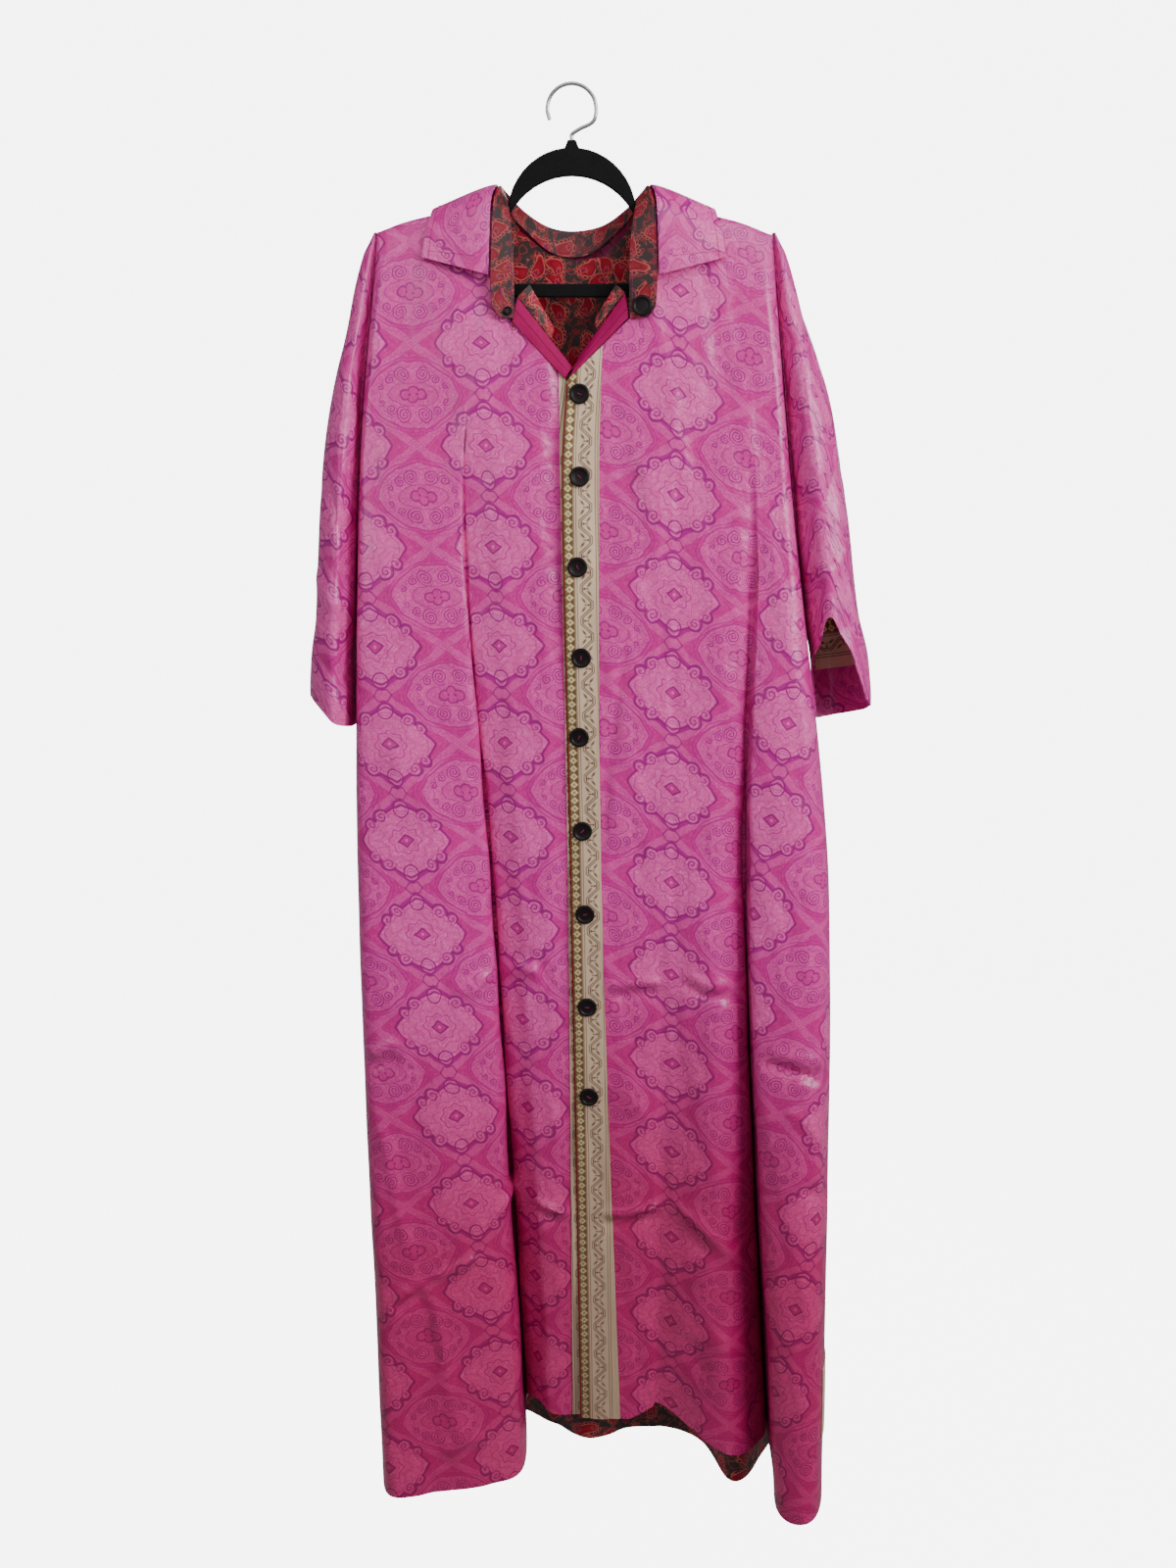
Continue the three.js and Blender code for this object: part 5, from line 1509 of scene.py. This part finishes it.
# Floor, light and camera, in metres
STUDIO = {"radius": 4.6, "middle": 0.01, "floor": -1.95, "bend": 1.3, "top": 4.5, "glow": 6.0}
BEND_STEPS, ROOM_SIDES = 12, 64
LAMPS = [
    ("key", (2.0, -1.9, 0.45), (0.1, 0, -0.45), (1.2, 1.2), 56),
    ("fill", (-1.6, -2.0, 0.3), (0, 0, -0.5), (1.2, 1.2), 13),
    ("side", (2.4, -0.9, 0.1), (0.3, 0, -0.4), (0.8, 0.8), 12),
    ("above", (0.2, -1.0, 0.9), (0, 0, -1.0), (1.6, 0.6), 9),
    ("behind", (0.4, 2.2, 0.3), (0, 0.2, -0.8), (1.6, 1.6), 38),
]
ROOM_LIGHT = 0.27
CAMERA = {"place": (0.016, -1.862, -0.320), "down": 11.5, "lens": 41.24, "sensor": 36}


def studio():
    """A round pale room that shows behind the garment but sheds no light on it."""
    dye = Dye("studio_paper")
    soft = dye.noise(dye.place(), 3.0)
    paper_tint = dye.layers(paint(238, 238, 238), (soft * 0.2, paint(244, 244, 244)))
    dye.finish(
        Base_Color=paper_tint, Roughness=0.9, Emission_Color=(1, 1, 1, 1),
        Emission_Strength=STUDIO["glow"],
    )
    bend, floor = STUDIO["bend"], STUDIO["floor"]
    flat_radius = STUDIO["radius"] - bend
    profile = [(STUDIO["middle"], floor), (flat_radius, floor)]
    for k in range(1, BEND_STEPS + 1):
        a = k / BEND_STEPS * math.pi / 2
        profile.append((flat_radius + bend * math.sin(a), floor + bend * (1 - math.cos(a))))
    profile.append((STUDIO["radius"], STUDIO["top"]))
    turns = np.linspace(0, 2 * math.pi, ROOM_SIDES + 1)
    grid = np.array([[(r * math.cos(a), r * math.sin(a), z) for r, z in profile] for a in turns]) / MM
    columns, rows = grid.shape[:2]
    faces = [
        (i * rows + k, i * rows + k + 1, (i + 1) * rows + k + 1, (i + 1) * rows + k)
        for i in range(columns - 1) for k in range(rows - 1)
    ]
    room = mesh_piece("studio_paper", grid.reshape(-1, 3), faces, [dye.material], sharp=0)
    room.visible_diffuse = room.visible_glossy = room.visible_shadow = False


def soft_lamp(name, place, aim, size, power):
    lamp = bpy.data.lights.new(name, "AREA")
    lamp.shape, lamp.size, lamp.size_y, lamp.energy = "RECTANGLE", size[0], size[1], power
    made = bpy.data.objects.new(name, lamp)
    bpy.context.scene.collection.objects.link(made)
    made.location = place
    direction = np.array(aim, float) - np.array(place, float)
    tilt = math.acos(-direction[2] / np.linalg.norm(direction))
    made.rotation_euler = (tilt, 0, math.atan2(direction[1], direction[0]) - math.pi / 2)


def room_light():
    world = bpy.data.worlds.new("room")
    bpy.context.scene.world = world
    world.use_nodes = True
    colour, strength = world.node_tree.nodes["Background"].inputs[:2]
    colour.default_value, strength.default_value = (1, 1, 1, 1), ROOM_LIGHT


def photo_camera():
    lens = bpy.data.cameras.new("photo_camera")
    lens.lens, lens.sensor_width = CAMERA["lens"], CAMERA["sensor"]
    camera = bpy.data.objects.new("photo_camera", lens)
    bpy.context.scene.collection.objects.link(camera)
    camera.location = CAMERA["place"]
    camera.rotation_euler = (math.radians(90 - CAMERA["down"]), 0, 0)
    bpy.context.scene.camera = camera


studio()
for lamp in LAMPS:
    soft_lamp(*lamp)
room_light()
photo_camera()
